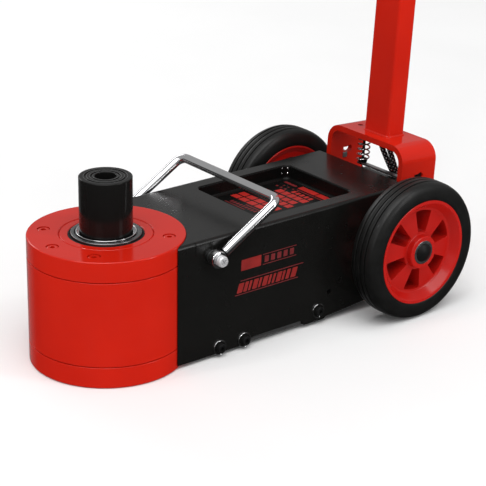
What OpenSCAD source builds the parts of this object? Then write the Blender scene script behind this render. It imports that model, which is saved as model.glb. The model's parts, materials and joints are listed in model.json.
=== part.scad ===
// Air-hydraulic truck jack: a two-stage lifting cylinder on a wheeled chassis with a tall steering handle.
// Millimetres. Origin on the floor under the lifting axis, +X along the chassis to the wheels, +Z up.

/* [Lifting cylinder] */
// Outer radius of the cylinder
barrel_r = 104; // [95:1:108]
// Height of the cylinder's top face
barrel_h = 174.8; // [165:0.1:190]
// Height of the base ring
base_ring_h = 29.5; // [20:0.5:40]
// Height of the top cap
cap_h = 28.2; // [20:0.2:35]
// Outer radius of the first lifting stage
stage_one_r = 46.7; // [44:0.1:48]
// Outer radius of the second lifting stage
stage_two_r = 40; // [38:0.1:40.5]
// Radius of the extension piece on the ram
extension_r = 35.1; // [30:0.1:36]
// Height of the extension's saddle face when lowered
saddle_z = 253; // [230:1:280]

/* [Chassis] */
// Half of the width over the side plates
chassis_half_w = 95; // [92:0.5:97]
// Height of the chassis top face
chassis_top = 172.6; // [165:0.1:174]
// Rear end of the chassis
chassis_rear = 447.5; // [440:0.5:450]
// Sheet thickness
sheet = 4; // [3:0.5:5]
// Length of the tool tray
tray_len = 171; // [120:1:180]
// Width of the tool tray
tray_w = 144; // [100:1:150]
// Depth of the tool tray
tray_depth = 21; // [12:1:22]

/* [Wheels] */
// Tyre outer radius
tyre_r = 100; // [100:1:100]
// Wheel width
wheel_w = 45; // [40:1:50]
// Distance of the wheel axle from the lifting axis
axle_x = 418; // [415:1:422]
// Outer faces of the wheels from the centre plane
wheel_outer = 166.5; // [160:0.5:175]
// Windows in each rim
rim_windows = 6; // [5:1:6]

/* [Handle] */
// Rearward lean of the handle at rest, degrees
lean = 3.23; // [0:0.01:5]
// Top of the handle tube along the handle
handle_top = 1050; // [900:10:1150]
// Half of the yoke's width
yoke_half_w = 80; // [78:0.5:81]
// Thickness of the yoke's flat bar
yoke_t = 8.5; // [6:0.5:10]
// Length of the cross bar
cross_bar_len = 300; // [260:10:330]

/* [Bail] */
// Angle of the bail above the horizontal at rest, degrees
bail_angle = 30.7; // [0:0.1:60]
// Distance from the bail's pivot to its cross rod
bail_arm = 117.7; // [100:0.1:125]
// Radius of the bail rod
bail_rod_r = 6.5; // [5:0.5:7]

/* [Hidden] */
$fn = 72;
e = 0.5;                                    // how far a cutter runs past a face
running = 0.05;                             // radial clearance of a shaft in its hole

barrel_wall = 7;
base_floor = 14;
cap_bore_r = 61.8;
inner_r = 52.05;
inner_wall = 7;
gland_z = barrel_h - 24.8;
seal_r = 50;
bolt_circle = 83;
bolt_angles = [45, 135, 180, 225, 315];
counterbore_r = 8.5;
counterbore_h = 11;
tie_r = 5;                                  // tie bolts that hold cap and base together
tie_foot = base_floor - 8;
tie_head_r = 7.6;
tie_head_h = 9.5;
socket_r = 3.75;
wiper_h = 8;
piston_z = base_floor + 1;
seal_one = [piston_z + 7, 6, 4];            // foot, height and depth of the first stage's seal groove
ram_z = 24;
seal_two = [ram_z + 6, 5, 3.5];             // the same for the second stage
ram_socket_z = 112;
stage_one_top = barrel_h + 2;
stage_two_top = barrel_h + 3.4;
saddle_bore_r = 14;
saddle_bore_h = 22;
saddle_hole_r = 9.5;
saddle_hole_h = 60;
saddle_rings = [18.5, 26.5];
saddle_ring_w = 2.4;
saddle_ring_h = 1.5;

chassis_front = 46;
beyond = 120;                               // a cutter across the chassis reaches this far to each side
slit = [74.5, 1, 19.2];                     // bend relief beside the cylinder: place, width and height
slit_z = 163;
tray_x = 283.5;
tray_corner = 12;
tray_wall = 2;
pan_z = 4.5;
pan_t = 3;
pan_x = [108, 300];
pan_flange = 28;
pan_rise = [135, 13.5];
bail_x = 101;
bail_z = 148;
bail_y = 106.5;
bail_corner = 13;
bail_screw_r = 6;
bail_head_r = 7.2;
bail_eye_r = 12;
bail_nut = [10.5, 8];                       // corner radius and thickness
bolt_spots = [[115, 13], [157, 13], [288.5, 20.7]];
side_bolt_r = 3;
side_washer = [10.5, 1.8];                  // radius and thickness
side_head = [6.5, 5.5];
side_key = [3.4, 3.3];                      // corner radius and depth of the key socket
side_nut = [5.7, 5];
side_hole_r = 4;
side_hole = [308.7, 43.7];

axle_z = tyre_r;
axle_r = 10;
hub_r = 23.5;
rim_seat_r = 75.5;
rim_depth = 30;
wheel_y = wheel_outer - wheel_w / 2;
bearing_r = 17;
bearing_w = 12;
groove_y = 9;                               // spacing, width and depth of the tread's grooves
groove_w = 2;
shoulder_r = 7;
web_front = [10, 12];                       // how far the rim's web lies behind its face, at hub and at seat
window_r = [27.5, 58.5];
window_angle = 30;
window_turn = 22;
cap_flange = [14.5, 1.5];
cap_dome_r = 26;

pivot_x = 481;
pivot_z = 105;
pivot_r = 8;
bush_r = 11;
bush_flange = 2.7;
pivot_head_r = 13;
pivot_head_h = 8;
pivot_nut_h = 9;
hinge_t = 6;
hinge_y = 83;
hinge_drop = 25;                            // how far the hinge plates reach below the pivot
hinge_top = 150;
latch_notch = [9, 8, 12];
leg_v = 62.8;
leg_w = 66.6;
yoke_top = 121.6;
yoke_bend_r = 25;
tube_w = 50.6;
tube_d = 33;
tube_v = 65.5;
tube_wall = 3;
tube_corner = 4.5;
tube_hole_corner = 2;
bar_r = 12.5;
bar_bore_r = 9.5;
grip_r = 16.5;
grip_flange_r = 20;
grip_y = [45, 50];
grip_end = 4;
valve_block = [34, 46, 60];                 // depth, width and height
valve_foot = 95;                            // from the handle's top down to the valve block's foot
lever_in = 20;
lever_down = 44;
lever_pin_r = 3;
lever_w = 18.6;
lever_len = 55;
lever_gap = 2.7;
inlet_in = 17;
inlet_r = 6.5;
latch_u = 66;
latch_t = 3;
latch_v = 56;
latch_half = 4;
latch_far_y = 38;
latch_reach = 88.5;
latch_lift = 4;
tenon_half = 3.5;
rod_r = 2;
rod_side = 30;
rod_v = 57;
rod_top = 114.3;
collar_h = 5;
spring_r = 8.8;
spring_wire = 1.1;
spring_turns = 5.5;
keyhole = [67, 77];
keyhole_r = 5.2;
keyway = [11.5, 3.2];                       // reach and half height of the keyhole's slot
top_hole = [59.7, 43.7, 4];                 // place and radius of the hole through the yoke's top
stud = 8.5;
stud_len = 11;
stud_at = [59, 76, 68.3];
yoke_foot = -60;
clear_of_yoke = 90;                         // a cutter across the yoke reaches this far to each side

block_x = [112, 240];
block_y = 35;
block_top = 56;
motor_x = 200;
motor_r = 45;
motor_wall = 4;
motor_top = 138;
motor_piston_z = 112;
motor_port_z = 130;
fitting_len = 12;
release_port = [240, -24, 40];
rear_wall_x = chassis_rear - 4;
latch_arc_r = 56.5;
latch_stops = [0, 45, 78];
latch_offset = atan((leg_v - latch_v) / (latch_arc_r + 1));      // how far the latch lies ahead of the pivot
wall_foot = 22;
hose_gap_low = [-50, 75];                   // opening of the rear wall, in Y and Z
hose_gap_high = [4, 121];
guard_y = [-68, 28];
guard_z = 155;
guard_t = 3;
plunger_r = 9;
plunger_hole_z = 22;
motor_floor = 5;
motor_cap_t = 6;
piston_t = 12;
ring_groove = [4, 5, 4];                    // foot, height and depth of the piston's seal groove
motor_spring_r = 18;
motor_wire = 1.8;
valve_x = 136;
valve_r = 6;
valve_seat_z = 44;
valve_body = [10.9, 14];
valve_hex = [14, 12];
oilway_r = 3;
oilway_z = 30;
port_r = 2;
hose_r = 3.5;
hose_hex_r = 8;

module handle_frame() { translate([axle_x, 0, axle_z]) rotate([0, lean, 0]) children(); }

module tube(r, bore, z0, z1) {
    difference() {
        translate([0, 0, z0]) cylinder(r = r, h = z1 - z0);
        translate([0, 0, z0 - e]) cylinder(r = bore, h = z1 - z0 + 2 * e);
    }
}

// A cylinder along Y from y0 to y1
module rod_y(r, y0, y1) { translate([0, y1, 0]) rotate([90, 0, 0]) cylinder(r = r, h = y1 - y0); }

module block(low, high) { translate(low) cube(high - low); }

module round_rect(w, d, r) {
    square([w - 2 * r, d], center = true);
    square([w, d - 2 * r], center = true);
    for (x = [-1, 1], y = [-1, 1]) translate([x * (w / 2 - r), y * (d / 2 - r)]) circle(r);
}

module bevelled(r, z0, z1, c) {
    h = z1 - z0;
    translate([0, 0, z0]) rotate_extrude()
        polygon([[0, 0], [r - c, 0], [r, c], [r, h - c], [r - c, h], [0, h]]);
}

module hex(r, h) { cylinder(r = r, h = h, $fn = 6); }

// A thin tube swept along points, closed at both ends
function unit(a) = a / norm(a);
function heading(p, i) = unit(p[min(i + 1, len(p) - 1)] - p[max(i - 1, 0)]);
function ring_at(p, i, r, n, side) = let (t = heading(p, i), a = unit(cross(t, side)), b = cross(t, a))
    [for (k = [0:n - 1]) p[i] + r * (cos(360 * k / n) * a + sin(360 * k / n) * b)];
module sweep(p, r, n, side) {
    last = len(p) - 1;
    polyhedron(points = [for (i = [0:last]) each ring_at(p, i, r, n, side)],
        faces = [[for (k = [0:n - 1]) k], [for (k = [n - 1:-1:0]) last * n + k],
            for (i = [0:last - 1], k = [0:n - 1])
                [i * n + k, (i + 1) * n + k, (i + 1) * n + (k + 1) % n, i * n + (k + 1) % n]]);
}

// ---- lifting cylinder ----

module base_ring() {
    color("firebrick") difference() {
        bevelled(barrel_r, 0, base_ring_h, 1.5);
        translate([0, 0, base_floor]) cylinder(r = barrel_r - barrel_wall, h = base_ring_h);
        for (a = bolt_angles) rotate(a) translate([bolt_circle, 0, tie_foot]) cylinder(r = tie_r, h = 20);
    }
}

module barrel_shell() {
    color("firebrick") difference() {
        bevelled(barrel_r, base_ring_h, barrel_h - cap_h, 1);
        cylinder(r = barrel_r - barrel_wall, h = barrel_h);
    }
}

module top_cap() {
    color("firebrick") difference() {
        bevelled(barrel_r, barrel_h - cap_h, barrel_h, 1.5);
        cylinder(r = cap_bore_r, h = barrel_h + e);
        for (a = bolt_angles) rotate(a) translate([bolt_circle, 0, 0]) {
            cylinder(r = tie_r + 0.5, h = barrel_h);
            translate([0, 0, barrel_h - counterbore_h]) cylinder(r = counterbore_r, h = counterbore_h + 1);
        }
    }
}

module gland_nut() {
    color("firebrick") difference() {
        bevelled(cap_bore_r - 0.1, gland_z, barrel_h - 0.3, 1);
        cylinder(r = stage_one_r + running, h = barrel_h);
        translate([0, 0, barrel_h - wiper_h]) cylinder(r = seal_r, h = wiper_h + 2);
    }
}

module ram_wiper() {
    color("dimgray") tube(seal_r - 0.1, stage_one_r + 0.3, barrel_h - wiper_h, barrel_h - 0.6);
}

module cap_bolts() {
    color("firebrick") for (a = bolt_angles) rotate(a) translate([bolt_circle, 0, 0]) difference() {
        union() {
            translate([0, 0, tie_foot]) cylinder(r = tie_r, h = barrel_h - counterbore_h - tie_foot);
            translate([0, 0, barrel_h - counterbore_h]) cylinder(r = tie_head_r, h = tie_head_h);
        }
        translate([0, 0, barrel_h - 7]) hex(socket_r, 8);
    }
}

module inner_cylinder() {
    color("gray") tube(inner_r + inner_wall, inner_r, base_floor, gland_z);
}

module first_stage_piston() {
    color("silver") difference() {
        union() {
            translate([0, 0, piston_z]) cylinder(r = inner_r - running, h = 20);
            bevelled(stage_one_r, piston_z + 10, stage_one_top, 0.8);
        }
        translate([0, 0, ram_z - 1]) cylinder(r = stage_two_r + running, h = barrel_h);
        tube_cut(inner_r + 1, inner_r - seal_one[2], seal_one[0], seal_one[1]);
    }
}

module first_stage_seal() {
    color("dimgray") tube(inner_r - 0.3, inner_r - seal_one[2], seal_one[0], seal_one[0] + seal_one[1]);
}

module second_stage_ram() {
    color("silver") difference() {
        bevelled(stage_two_r, ram_z, stage_two_top, 0.6);
        translate([0, 0, ram_socket_z]) cylinder(r = extension_r + running, h = barrel_h);
        translate([0, 0, stage_two_top - 9]) cylinder(r = stage_two_r - 2, h = 10);
        tube_cut(stage_two_r + 1, stage_two_r - seal_two[2], seal_two[0], seal_two[1]);
    }
}

module second_stage_seal() {
    color("dimgray") tube(stage_two_r - 0.3, stage_two_r - seal_two[2], seal_two[0], seal_two[0] + seal_two[1]);
}

module ram_extension() {
    groove = saddle_ring_w / 2;
    color("black") difference() {
        bevelled(extension_r, ram_socket_z + 0.2, saddle_z, 1);
        translate([0, 0, saddle_z - saddle_bore_h]) cylinder(r = saddle_bore_r, h = saddle_bore_h + e);
        translate([0, 0, saddle_z - saddle_hole_h]) cylinder(r = saddle_hole_r, h = saddle_hole_h);
        for (r = saddle_rings) tube_cut(r + groove, r - groove, saddle_z - saddle_ring_h, 5);
    }
}

module tube_cut(r, core, z, h) {
    translate([0, 0, z]) difference() {
        cylinder(r = r, h = h);
        cylinder(r = core, h = h);
    }
}

// ---- chassis ----

// The side plate's outline in X and Z
module side_outline() {
    polygon([[chassis_front, 5], [168, 5], [170, 13], [260, 13], [263, 5], [300, 5], [304, 8], [378, 13.8],
        [chassis_rear, 20], [chassis_rear, chassis_top], [chassis_front, chassis_top]]);
}

module side_holes() {
    for (p = bolt_spots) translate([p[0], 0, p[1]]) rod_y(side_bolt_r, -beyond, beyond);
    translate([side_hole[0], 0, side_hole[1]]) rod_y(side_hole_r, -beyond, beyond);
    translate([bail_x, 0, bail_z]) rod_y(bail_screw_r, -beyond, beyond);
    translate([axle_x, 0, axle_z]) rod_y(axle_r, -beyond, beyond);
}

module chassis_shell() {
    inside = chassis_half_w - sheet;
    color("black") difference() {
        union() {
            for (y = [-chassis_half_w, inside])
                translate([0, y + sheet, 0]) rotate([90, 0, 0]) linear_extrude(sheet) side_outline();
            block([chassis_front, -inside, chassis_top - sheet], [chassis_rear, inside, chassis_top]);
            block([rear_wall_x - sheet, -inside, wall_foot], [rear_wall_x, inside, chassis_top - sheet]);
            block([rear_wall_x - 1, guard_y[0], guard_z], [pivot_x + 3, guard_y[1], guard_z + guard_t]);
        }
        cylinder(r = barrel_r + 0.5, h = chassis_top + e);
        translate([tray_x, 0, chassis_top - sheet - e]) linear_extrude(sheet + 2 * e)
            round_rect(tray_len, tray_w, tray_corner);
        side_holes();
        for (y = [-1, 1]) translate([slit[0], y * (chassis_half_w - sheet / 2), slit_z])
            cube([slit[1], sheet + 1, slit[2]], center = true);
        block([rear_wall_x - 10, hose_gap_low[0], hose_gap_low[1]],
            [rear_wall_x + 1, hose_gap_high[0], hose_gap_high[1]]);
    }
}

module tray_pan() {
    fit = 0.2;
    color("black") translate([tray_x, 0, chassis_top - tray_depth - tray_wall]) difference() {
        linear_extrude(tray_depth + tray_wall - 1) round_rect(tray_len - fit, tray_w - fit, tray_corner);
        translate([0, 0, tray_wall]) linear_extrude(tray_depth)
            round_rect(tray_len - 2 * tray_wall, tray_w - 2 * tray_wall, tray_corner - tray_wall);
    }
}

module bottom_pan() {
    y1 = chassis_half_w - sheet - 0.1;
    middle = (pan_x[0] + pan_x[1]) / 2;
    color("dimgray") difference() {
        union() {
            block([pan_x[0], -y1, pan_z], [pan_x[1], y1, pan_z + pan_t]);
            for (s = [-1, 1]) translate([middle, s * (y1 - pan_t / 2), pan_z + pan_flange / 2])
                cube([pan_x[1] - pan_x[0], pan_t, pan_flange], center = true);
            translate([pan_x[1], y1, pan_z]) rotate([90, 0, 0]) linear_extrude(2 * y1)
                polygon([[0, 0], pan_rise, pan_rise + [0, pan_t], [0, pan_t]]);
        }
        for (p = bolt_spots) translate([p[0], 0, p[1]]) rod_y(side_bolt_r, -beyond, beyond);
    }
}

module at_bolts() {
    for (p = bolt_spots, s = [-1, 1])
        translate([p[0], s * chassis_half_w, p[1]]) rotate([-90 * s, 0, 0]) children();
}

module side_washers() {
    color("silver") at_bolts() tube(side_washer[0], side_bolt_r, 0, side_washer[1]);
}

module side_bolts() {
    color("black") at_bolts() difference() {
        union() {
            translate([0, 0, -14]) cylinder(r = side_bolt_r, h = 16);
            translate([0, 0, side_washer[1]]) cylinder(r = side_head[0], h = side_head[1]);
        }
        translate([0, 0, side_washer[1] + side_head[1] - side_key[1]]) hex(side_key[0], side_key[1] + e);
    }
}

// Nuts inside the side plates: small ones on the side bolts, large ones on the bail's screws
module side_nuts() {
    color("silver") {
        at_bolts() translate([0, 0, -sheet - pan_t - 0.1 - side_nut[1]]) difference() {
            hex(side_nut[0], side_nut[1]);
            translate([0, 0, -e]) cylinder(r = side_bolt_r, h = 8);
        }
        for (s = [0, 180]) translate([bail_x, 0, bail_z]) rotate([0, 0, s]) difference() {
            translate([0, chassis_half_w - sheet, 0]) rotate([90, 0, 0]) hex(bail_nut[0], bail_nut[1]);
            rod_y(bail_screw_r, 70, 100);
        }
    }
}

// Two plates welded to the rear wall that carry the handle's pivot bolts and the latch notches
module hinge_plates() {
    color("black") for (y = [hinge_y, -hinge_y - hinge_t]) translate([0, y, 0]) difference() {
        union() {
            block([rear_wall_x, 0, pivot_z - hinge_drop], [pivot_x, hinge_t, hinge_top]);
            translate([pivot_x, 0, pivot_z]) rod_y(latch_arc_r, 0, hinge_t);
        }
        block([pivot_x - beyond, -1, 0], [rear_wall_x, hinge_t + 1, hinge_top + 50]);
        block([pivot_x - 60, -1, 0], [pivot_x + 90, hinge_t + 1, pivot_z - hinge_drop]);
        translate([pivot_x, 0, pivot_z]) {
            rod_y(pivot_r, -1, hinge_t + 1);
            for (a = latch_stops) rotate([0, a + lean - latch_offset, 0])
                translate([0, hinge_t / 2, latch_arc_r]) cube(latch_notch, center = true);
        }
    }
}

module pivot_bolts() {
    color("silver") for (s = [0, 180]) translate([pivot_x, 0, pivot_z]) rotate([0, 0, s]) {
        rod_y(pivot_r, 60, hinge_y + hinge_t);
        rod_y(pivot_head_r, hinge_y + hinge_t, hinge_y + hinge_t + pivot_head_h);
    }
}

module pivot_nuts() {
    color("silver") for (s = [0, 180]) translate([pivot_x, 0, pivot_z]) rotate([0, 0, s]) difference() {
        translate([0, yoke_half_w - pivot_nut_h, 0]) rotate([90, 0, 0]) hex(pivot_head_r, pivot_nut_h);
        rod_y(pivot_r, 50, 80);
    }
}

module pivot_bushes() {
    color("goldenrod") for (s = [0, 180]) translate([pivot_x, 0, pivot_z]) rotate([0, 0, s]) difference() {
        rod_y(bush_r, yoke_half_w - yoke_t, yoke_half_w + bush_flange);
        rod_y(pivot_r + running, 50, 90);
    }
}

// ---- wheels ----

module axle() {
    color("silver") translate([axle_x, 0, axle_z]) rod_y(axle_r, -wheel_outer + 10, wheel_outer - 10);
}

module axle_spacers() {
    color("silver") for (s = [0, 180]) translate([axle_x, 0, axle_z]) rotate([0, 0, s]) difference() {
        rod_y(15, chassis_half_w, wheel_outer - wheel_w - 0.3);
        rod_y(axle_r, 50, 140);
    }
}

// Turns a profile in radius and outward distance about the axle; s is -1 for the left wheel
module on_axle(s) { translate([axle_x, s * wheel_y, axle_z]) rotate([-90 * s, 0, 0]) children(); }

module tyre(s) {
    half = wheel_w / 2;
    color("black") on_axle(s) rotate_extrude() difference() {
        union() {
            translate([rim_seat_r, -half + 6]) square([tyre_r - rim_seat_r, wheel_w - 12]);
            translate([rim_seat_r, -half]) square([tyre_r - rim_seat_r - shoulder_r, wheel_w]);
            for (y = [-1, 1]) translate([tyre_r - shoulder_r, y * (half - shoulder_r)]) circle(shoulder_r);
        }
        for (k = [-1:1]) translate([tyre_r - groove_w, k * groove_y - groove_w / 2]) square([5, groove_w]);
    }
}

module tyre_left() { tyre(-1); }
module tyre_right() { tyre(1); }

module rim(s) {
    half = wheel_w / 2;
    step = 360 / rim_windows;
    color("firebrick") on_axle(s) difference() {
        rotate_extrude() {
            polygon([[bearing_r, half], [hub_r, half], [28, half - web_front[0]], [58, half - web_front[1]],
                [rim_seat_r - 3.5, half], [rim_seat_r, half], [rim_seat_r, -half], [rim_seat_r - 3.5, -half],
                [60, half - rim_depth], [28, half - rim_depth], [hub_r, -half], [bearing_r, -half]]);
        }
        translate([0, 0, half - bearing_w - e]) cylinder(r = bearing_r, h = bearing_w + 2 * e);
        for (k = [0:rim_windows - 1]) rotate(window_turn + k * step) translate([0, 0, -half])
            window(window_r[0], window_r[1], window_angle, wheel_w);
    }
}

// An annular opening r0 to r1 over the given angle
module window(r0, r1, angle, h) {
    intersection() {
        tube(r1, r0, 0, h);
        linear_extrude(h) polygon([[0, 0], [90, -90 * tan(angle / 2)], [90, 90 * tan(angle / 2)]]);
    }
}

module rim_left() { rim(-1); }
module rim_right() { rim(1); }

module bearings(s) {
    half = wheel_w / 2;
    color("silver") on_axle(s) for (z = [half - bearing_w, -half])
        tube(bearing_r, axle_r + running, z, z + bearing_w - (z > 0 ? 0.2 : 0));
}

module bearings_left() { bearings(-1); }
module bearings_right() { bearings(1); }

module hub_cap(s) {
    half = wheel_w / 2;
    color("black") on_axle(s) difference() {
        union() {
            translate([0, 0, half]) cylinder(r = cap_flange[0], h = cap_flange[1]);
            intersection() {
                translate([0, 0, half + cap_flange[1] - 22]) sphere(r = cap_dome_r);
                translate([0, 0, half + cap_flange[1] - 0.1]) cylinder(r = cap_flange[0], h = 10);
            }
        }
        translate([0, 0, half - 1]) cylinder(r = 9, h = 2);
    }
}

module hub_cap_left() { hub_cap(-1); }
module hub_cap_right() { hub_cap(1); }

// ---- bail ----

module bail_frame() { translate([bail_x, 0, bail_z]) rotate([0, -bail_angle, 0]) children(); }

module bail_handle() {
    half = bail_y - bail_corner;
    color("silver") bail_frame() difference() {
        union() {
            translate([bail_arm, 0, 0]) rod_y(bail_rod_r, -half, half);
            for (s = [-1, 1]) {
                translate([9, s * bail_y, 0]) rotate([0, 90, 0])
                    cylinder(r = bail_rod_r, h = bail_arm - bail_corner - 9);
                translate([bail_arm - bail_corner, s * half, 0]) mirror([0, s < 0 ? 1 : 0, 0])
                    rotate_extrude(angle = 90) translate([bail_corner, 0]) circle(bail_rod_r);
                translate([0, s * bail_y, 0]) rod_y(bail_eye_r, -bail_rod_r, bail_rod_r);
            }
        }
        rod_y(bail_screw_r + running, -130, 130);
    }
}

module bail_screws() {
    color("silver") for (s = [0, 180]) translate([bail_x, 0, bail_z]) rotate([0, 0, s]) difference() {
        union() {
            rod_y(bail_screw_r, 82, 114);
            rod_y(9, chassis_half_w, bail_y - bail_rod_r - 0.3);
            rod_y(bail_head_r, bail_y + bail_rod_r + 0.3, 121);
        }
        translate([0, 122, 0]) rotate([90, 0, 0]) hex(side_key[0], 5);
    }
}

// ---- handle ----

// The yoke's outline in Y and along the handle: the outer one, or one inset from it
module yoke_outline(inset) {
    w = yoke_half_w - inset;
    top = yoke_top - inset;
    r = yoke_bend_r - inset;
    translate([-w, yoke_foot]) square([2 * w, top - yoke_foot - r]);
    translate([-w + r, yoke_foot]) square([2 * (w - r), top - yoke_foot]);
    for (s = [-1, 1]) translate([s * (w - r), top - r]) circle(r);
}

module yoke() {
    far = clear_of_yoke;
    below_top = yoke_top - 20;
    color("firebrick") difference() {
        handle_frame() difference() {
            translate([leg_v - leg_w / 2, 0, 0]) rotate([90, 0, 90]) linear_extrude(leg_w) difference() {
                yoke_outline(0);
                yoke_outline(yoke_t);
            }
            translate([tube_v, 0, below_top]) linear_extrude(40) tube_hole();
            translate([rod_v, rod_side, below_top])
                cylinder(r = rod_r + 0.08, h = rod_top + latch_lift + 1.5 - below_top);
            block([latch_v - tenon_half - 0.2, -far, latch_u - 0.2],
                [latch_v + tenon_half + 0.2, 0, latch_u + latch_t + latch_lift + 0.2]);
            translate([keyhole[0], 0, keyhole[1]]) rod_y(keyhole_r, -far, far);
            block([keyhole[0] - keyway[0], -far, keyhole[1] - keyway[1]],
                [keyhole[0], far, keyhole[1] + keyway[1]]);
            translate([top_hole[0], top_hole[1], below_top]) cylinder(r = top_hole[2], h = 40);
            translate(stud_at) cube([stud, 20, stud], center = true);
        }
        translate([pivot_x, 0, pivot_z]) {
            rod_y(bush_r, -far, far);
            difference() {
                block([-60, -far, -90], [60, far, 0]);
                rod_y(leg_w / 2, -far - 1, far + 1);
            }
        }
    }
}

module tube_hole() { round_rect(tube_d - 2 * tube_wall, tube_w - 2 * tube_wall, tube_hole_corner); }

module handle_tube() {
    color("firebrick") handle_frame() translate([tube_v, 0, yoke_top]) difference() {
        linear_extrude(handle_top - yoke_top) round_rect(tube_d, tube_w, tube_corner);
        translate([0, 0, -e]) linear_extrude(handle_top) tube_hole();
    }
}

module cross_bar() {
    color("firebrick") handle_frame() translate([tube_v, 0, handle_top]) difference() {
        union() {
            translate([0, 0, bar_r]) rod_y(bar_r, -cross_bar_len / 2, cross_bar_len / 2);
            translate([-tube_d / 2, -tube_w / 2, 0]) cube([tube_d, tube_w, 2 * bar_r]);
        }
        for (s = [-1, 1]) translate([0, s * cross_bar_len / 2, bar_r]) rod_y(bar_bore_r, -80, 80);
    }
}

module grips() {
    color("black") handle_frame() for (s = [0, 180])
        translate([tube_v, 0, handle_top + bar_r]) rotate([0, 0, s]) difference() {
            union() {
                rod_y(grip_r, grip_y[0], cross_bar_len / 2 + grip_end);
                rod_y(grip_flange_r, grip_y[0], grip_y[1]);
            }
            rod_y(bar_r, grip_y[0] - 5, cross_bar_len / 2);
        }
}

// The valve block stands in front of the tube, below the cross bar, with a bay for each lever
module control_block() {
    color("black") handle_frame() translate([tube_v - tube_d / 2, 0, handle_top - valve_foot]) difference() {
        rotate([0, -90, 0]) linear_extrude(valve_block[0]) translate([valve_block[2] / 2, 0])
            round_rect(valve_block[2], valve_block[1], 5);
        for (y = [-22, 2]) block([-36, y, 39], [-12, y + lever_w + 1.4, 65]);
        translate([-lever_in, 0, valve_foot - lever_down]) rod_y(lever_pin_r, -30, 30);
        translate([-inlet_in, 0, -1]) cylinder(r = inlet_r + 0.1, h = 14);
    }
}

// A thumb lever; its pin lies along Y and the blade reaches forward
module lever(y0) {
    difference() {
        union() {
            translate([0, y0, 0]) rod_y(6, 0, lever_w);
            translate([-lever_len, y0, -3]) cube([lever_len, lever_w, 6]);
            translate([-lever_len, y0, 0]) rod_y(5, 0, lever_w);
        }
        translate([0, y0, 0]) rod_y(lever_pin_r + running, -1, lever_w + 1);
    }
}

module at_lever_pin() {
    handle_frame() translate([tube_v - tube_d / 2 - lever_in, 0, handle_top - lever_down]) children();
}

module lift_lever() { color("silver") at_lever_pin() lever(lever_gap); }
module release_lever() { color("firebrick") at_lever_pin() lever(-lever_gap - lever_w); }
module lever_pins() { color("silver") at_lever_pin() rod_y(lever_pin_r, -26, 26); }

// A plug-in nipple with a hexagon and a collar for the air line
module air_inlet() {
    color("goldenrod") handle_frame()
        translate([tube_v - tube_d / 2 - inlet_in, 0, handle_top - valve_foot - 1]) difference() {
            union() {
                translate([0, 0, -14]) cylinder(r = inlet_r, h = 28);
                translate([0, 0, -6]) hex(10, 7);
                translate([0, 0, -30]) cylinder(r = 4, h = 18);
                translate([0, 0, -26]) cylinder(r = 5.9, h = 3);
            }
            translate([0, 0, -31]) cylinder(r = 2.2, h = 50);
        }
}

// ---- handle latch ----

module latch_plate() {
    color("silver") handle_frame() difference() {
        union() {
            block([latch_v - latch_half, -yoke_half_w + yoke_t + 0.5, latch_u],
                [latch_v + latch_half, latch_far_y, latch_u + latch_t]);
            block([latch_v - tenon_half, -latch_reach, latch_u],
                [latch_v + tenon_half, -60, latch_u + latch_t]);
        }
        translate([rod_v, rod_side, latch_u - 1]) cylinder(r = rod_r, h = 9);
    }
}

module latch_rod() {
    color("black") handle_frame() translate([rod_v, rod_side, latch_u]) {
        cylinder(r = rod_r, h = rod_top - latch_u);
        translate([0, 0, latch_t]) cylinder(r = spring_r - spring_wire - 0.6, h = collar_h);
    }
}

function coil(r, z0, z1, turns, n) =
    [for (i = [0:turns * n]) [r * cos(360 * i / n), r * sin(360 * i / n), z0 + (z1 - z0) * i / (turns * n)]];

module latch_spring() {
    low = latch_u + latch_t + spring_wire + 0.1;
    high = yoke_top - yoke_t - spring_wire - 0.1;
    color("silver") handle_frame() translate([rod_v, rod_side, 0])
        sweep(coil(spring_r, low, high, spring_turns, 16), spring_wire, 6, [0, 0, 1]);
}

// A square bar end let into the far leg
module keeper_stud() {
    color("silver") handle_frame() translate(stud_at) cube([stud - 0.1, stud_len, stud - 0.1], center = true);
}

// ---- pump, air motor and release valve inside the chassis ----

module pump_block() {
    color("gray") difference() {
        block([block_x[0], -block_y, pan_z + pan_t], [block_x[1], block_y, block_top]);
        cylinder(r = barrel_r + 0.2, h = 100);
        translate([motor_x, 0, plunger_hole_z]) cylinder(r = plunger_r + running, h = block_top);
        translate([valve_x, 0, 26]) cylinder(r = valve_r + running, h = block_top);
        translate([valve_x, 0, valve_seat_z]) cylinder(r = valve_body[0] + 0.1, h = block_top);
        translate([100, 0, oilway_z]) rotate([0, 90, 0]) cylinder(r = oilway_r, h = 60);
    }
}

module motor_cylinder() {
    color("lightgray") translate([motor_x, 0, 0]) difference() {
        union() {
            translate([0, 0, block_top]) cylinder(r = motor_r, h = motor_top - block_top);
            block([motor_r - 6, -9, motor_port_z - 10], [motor_r + 2, 9, motor_port_z + 8]);
        }
        translate([0, 0, block_top + motor_floor]) cylinder(r = motor_r - motor_wall, h = 100);
        translate([motor_r - 8, 0, motor_port_z]) rotate([0, 90, 0]) cylinder(r = port_r, h = 12);
        translate([0, 0, block_top - e]) cylinder(r = plunger_r + 2, h = 10);
    }
}

module motor_cap() {
    color("gray") translate([motor_x, 0, motor_top]) difference() {
        union() {
            cylinder(r = motor_r + 2, h = motor_cap_t);
            translate([0, 0, -4]) cylinder(r = motor_r - motor_wall - 0.1, h = 5);
        }
        translate([0, 0, -5]) cylinder(r = port_r, h = 20);
    }
}

module motor_piston() {
    color("silver") translate([motor_x, 0, 0]) difference() {
        union() {
            translate([0, 0, motor_piston_z]) cylinder(r = motor_r - motor_wall - running, h = piston_t);
            translate([0, 0, 48]) cylinder(r = plunger_r, h = motor_piston_z - 47);
        }
        tube_cut(motor_r, motor_r - motor_wall - ring_groove[2],
            motor_piston_z + ring_groove[0], ring_groove[1]);
    }
}

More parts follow.
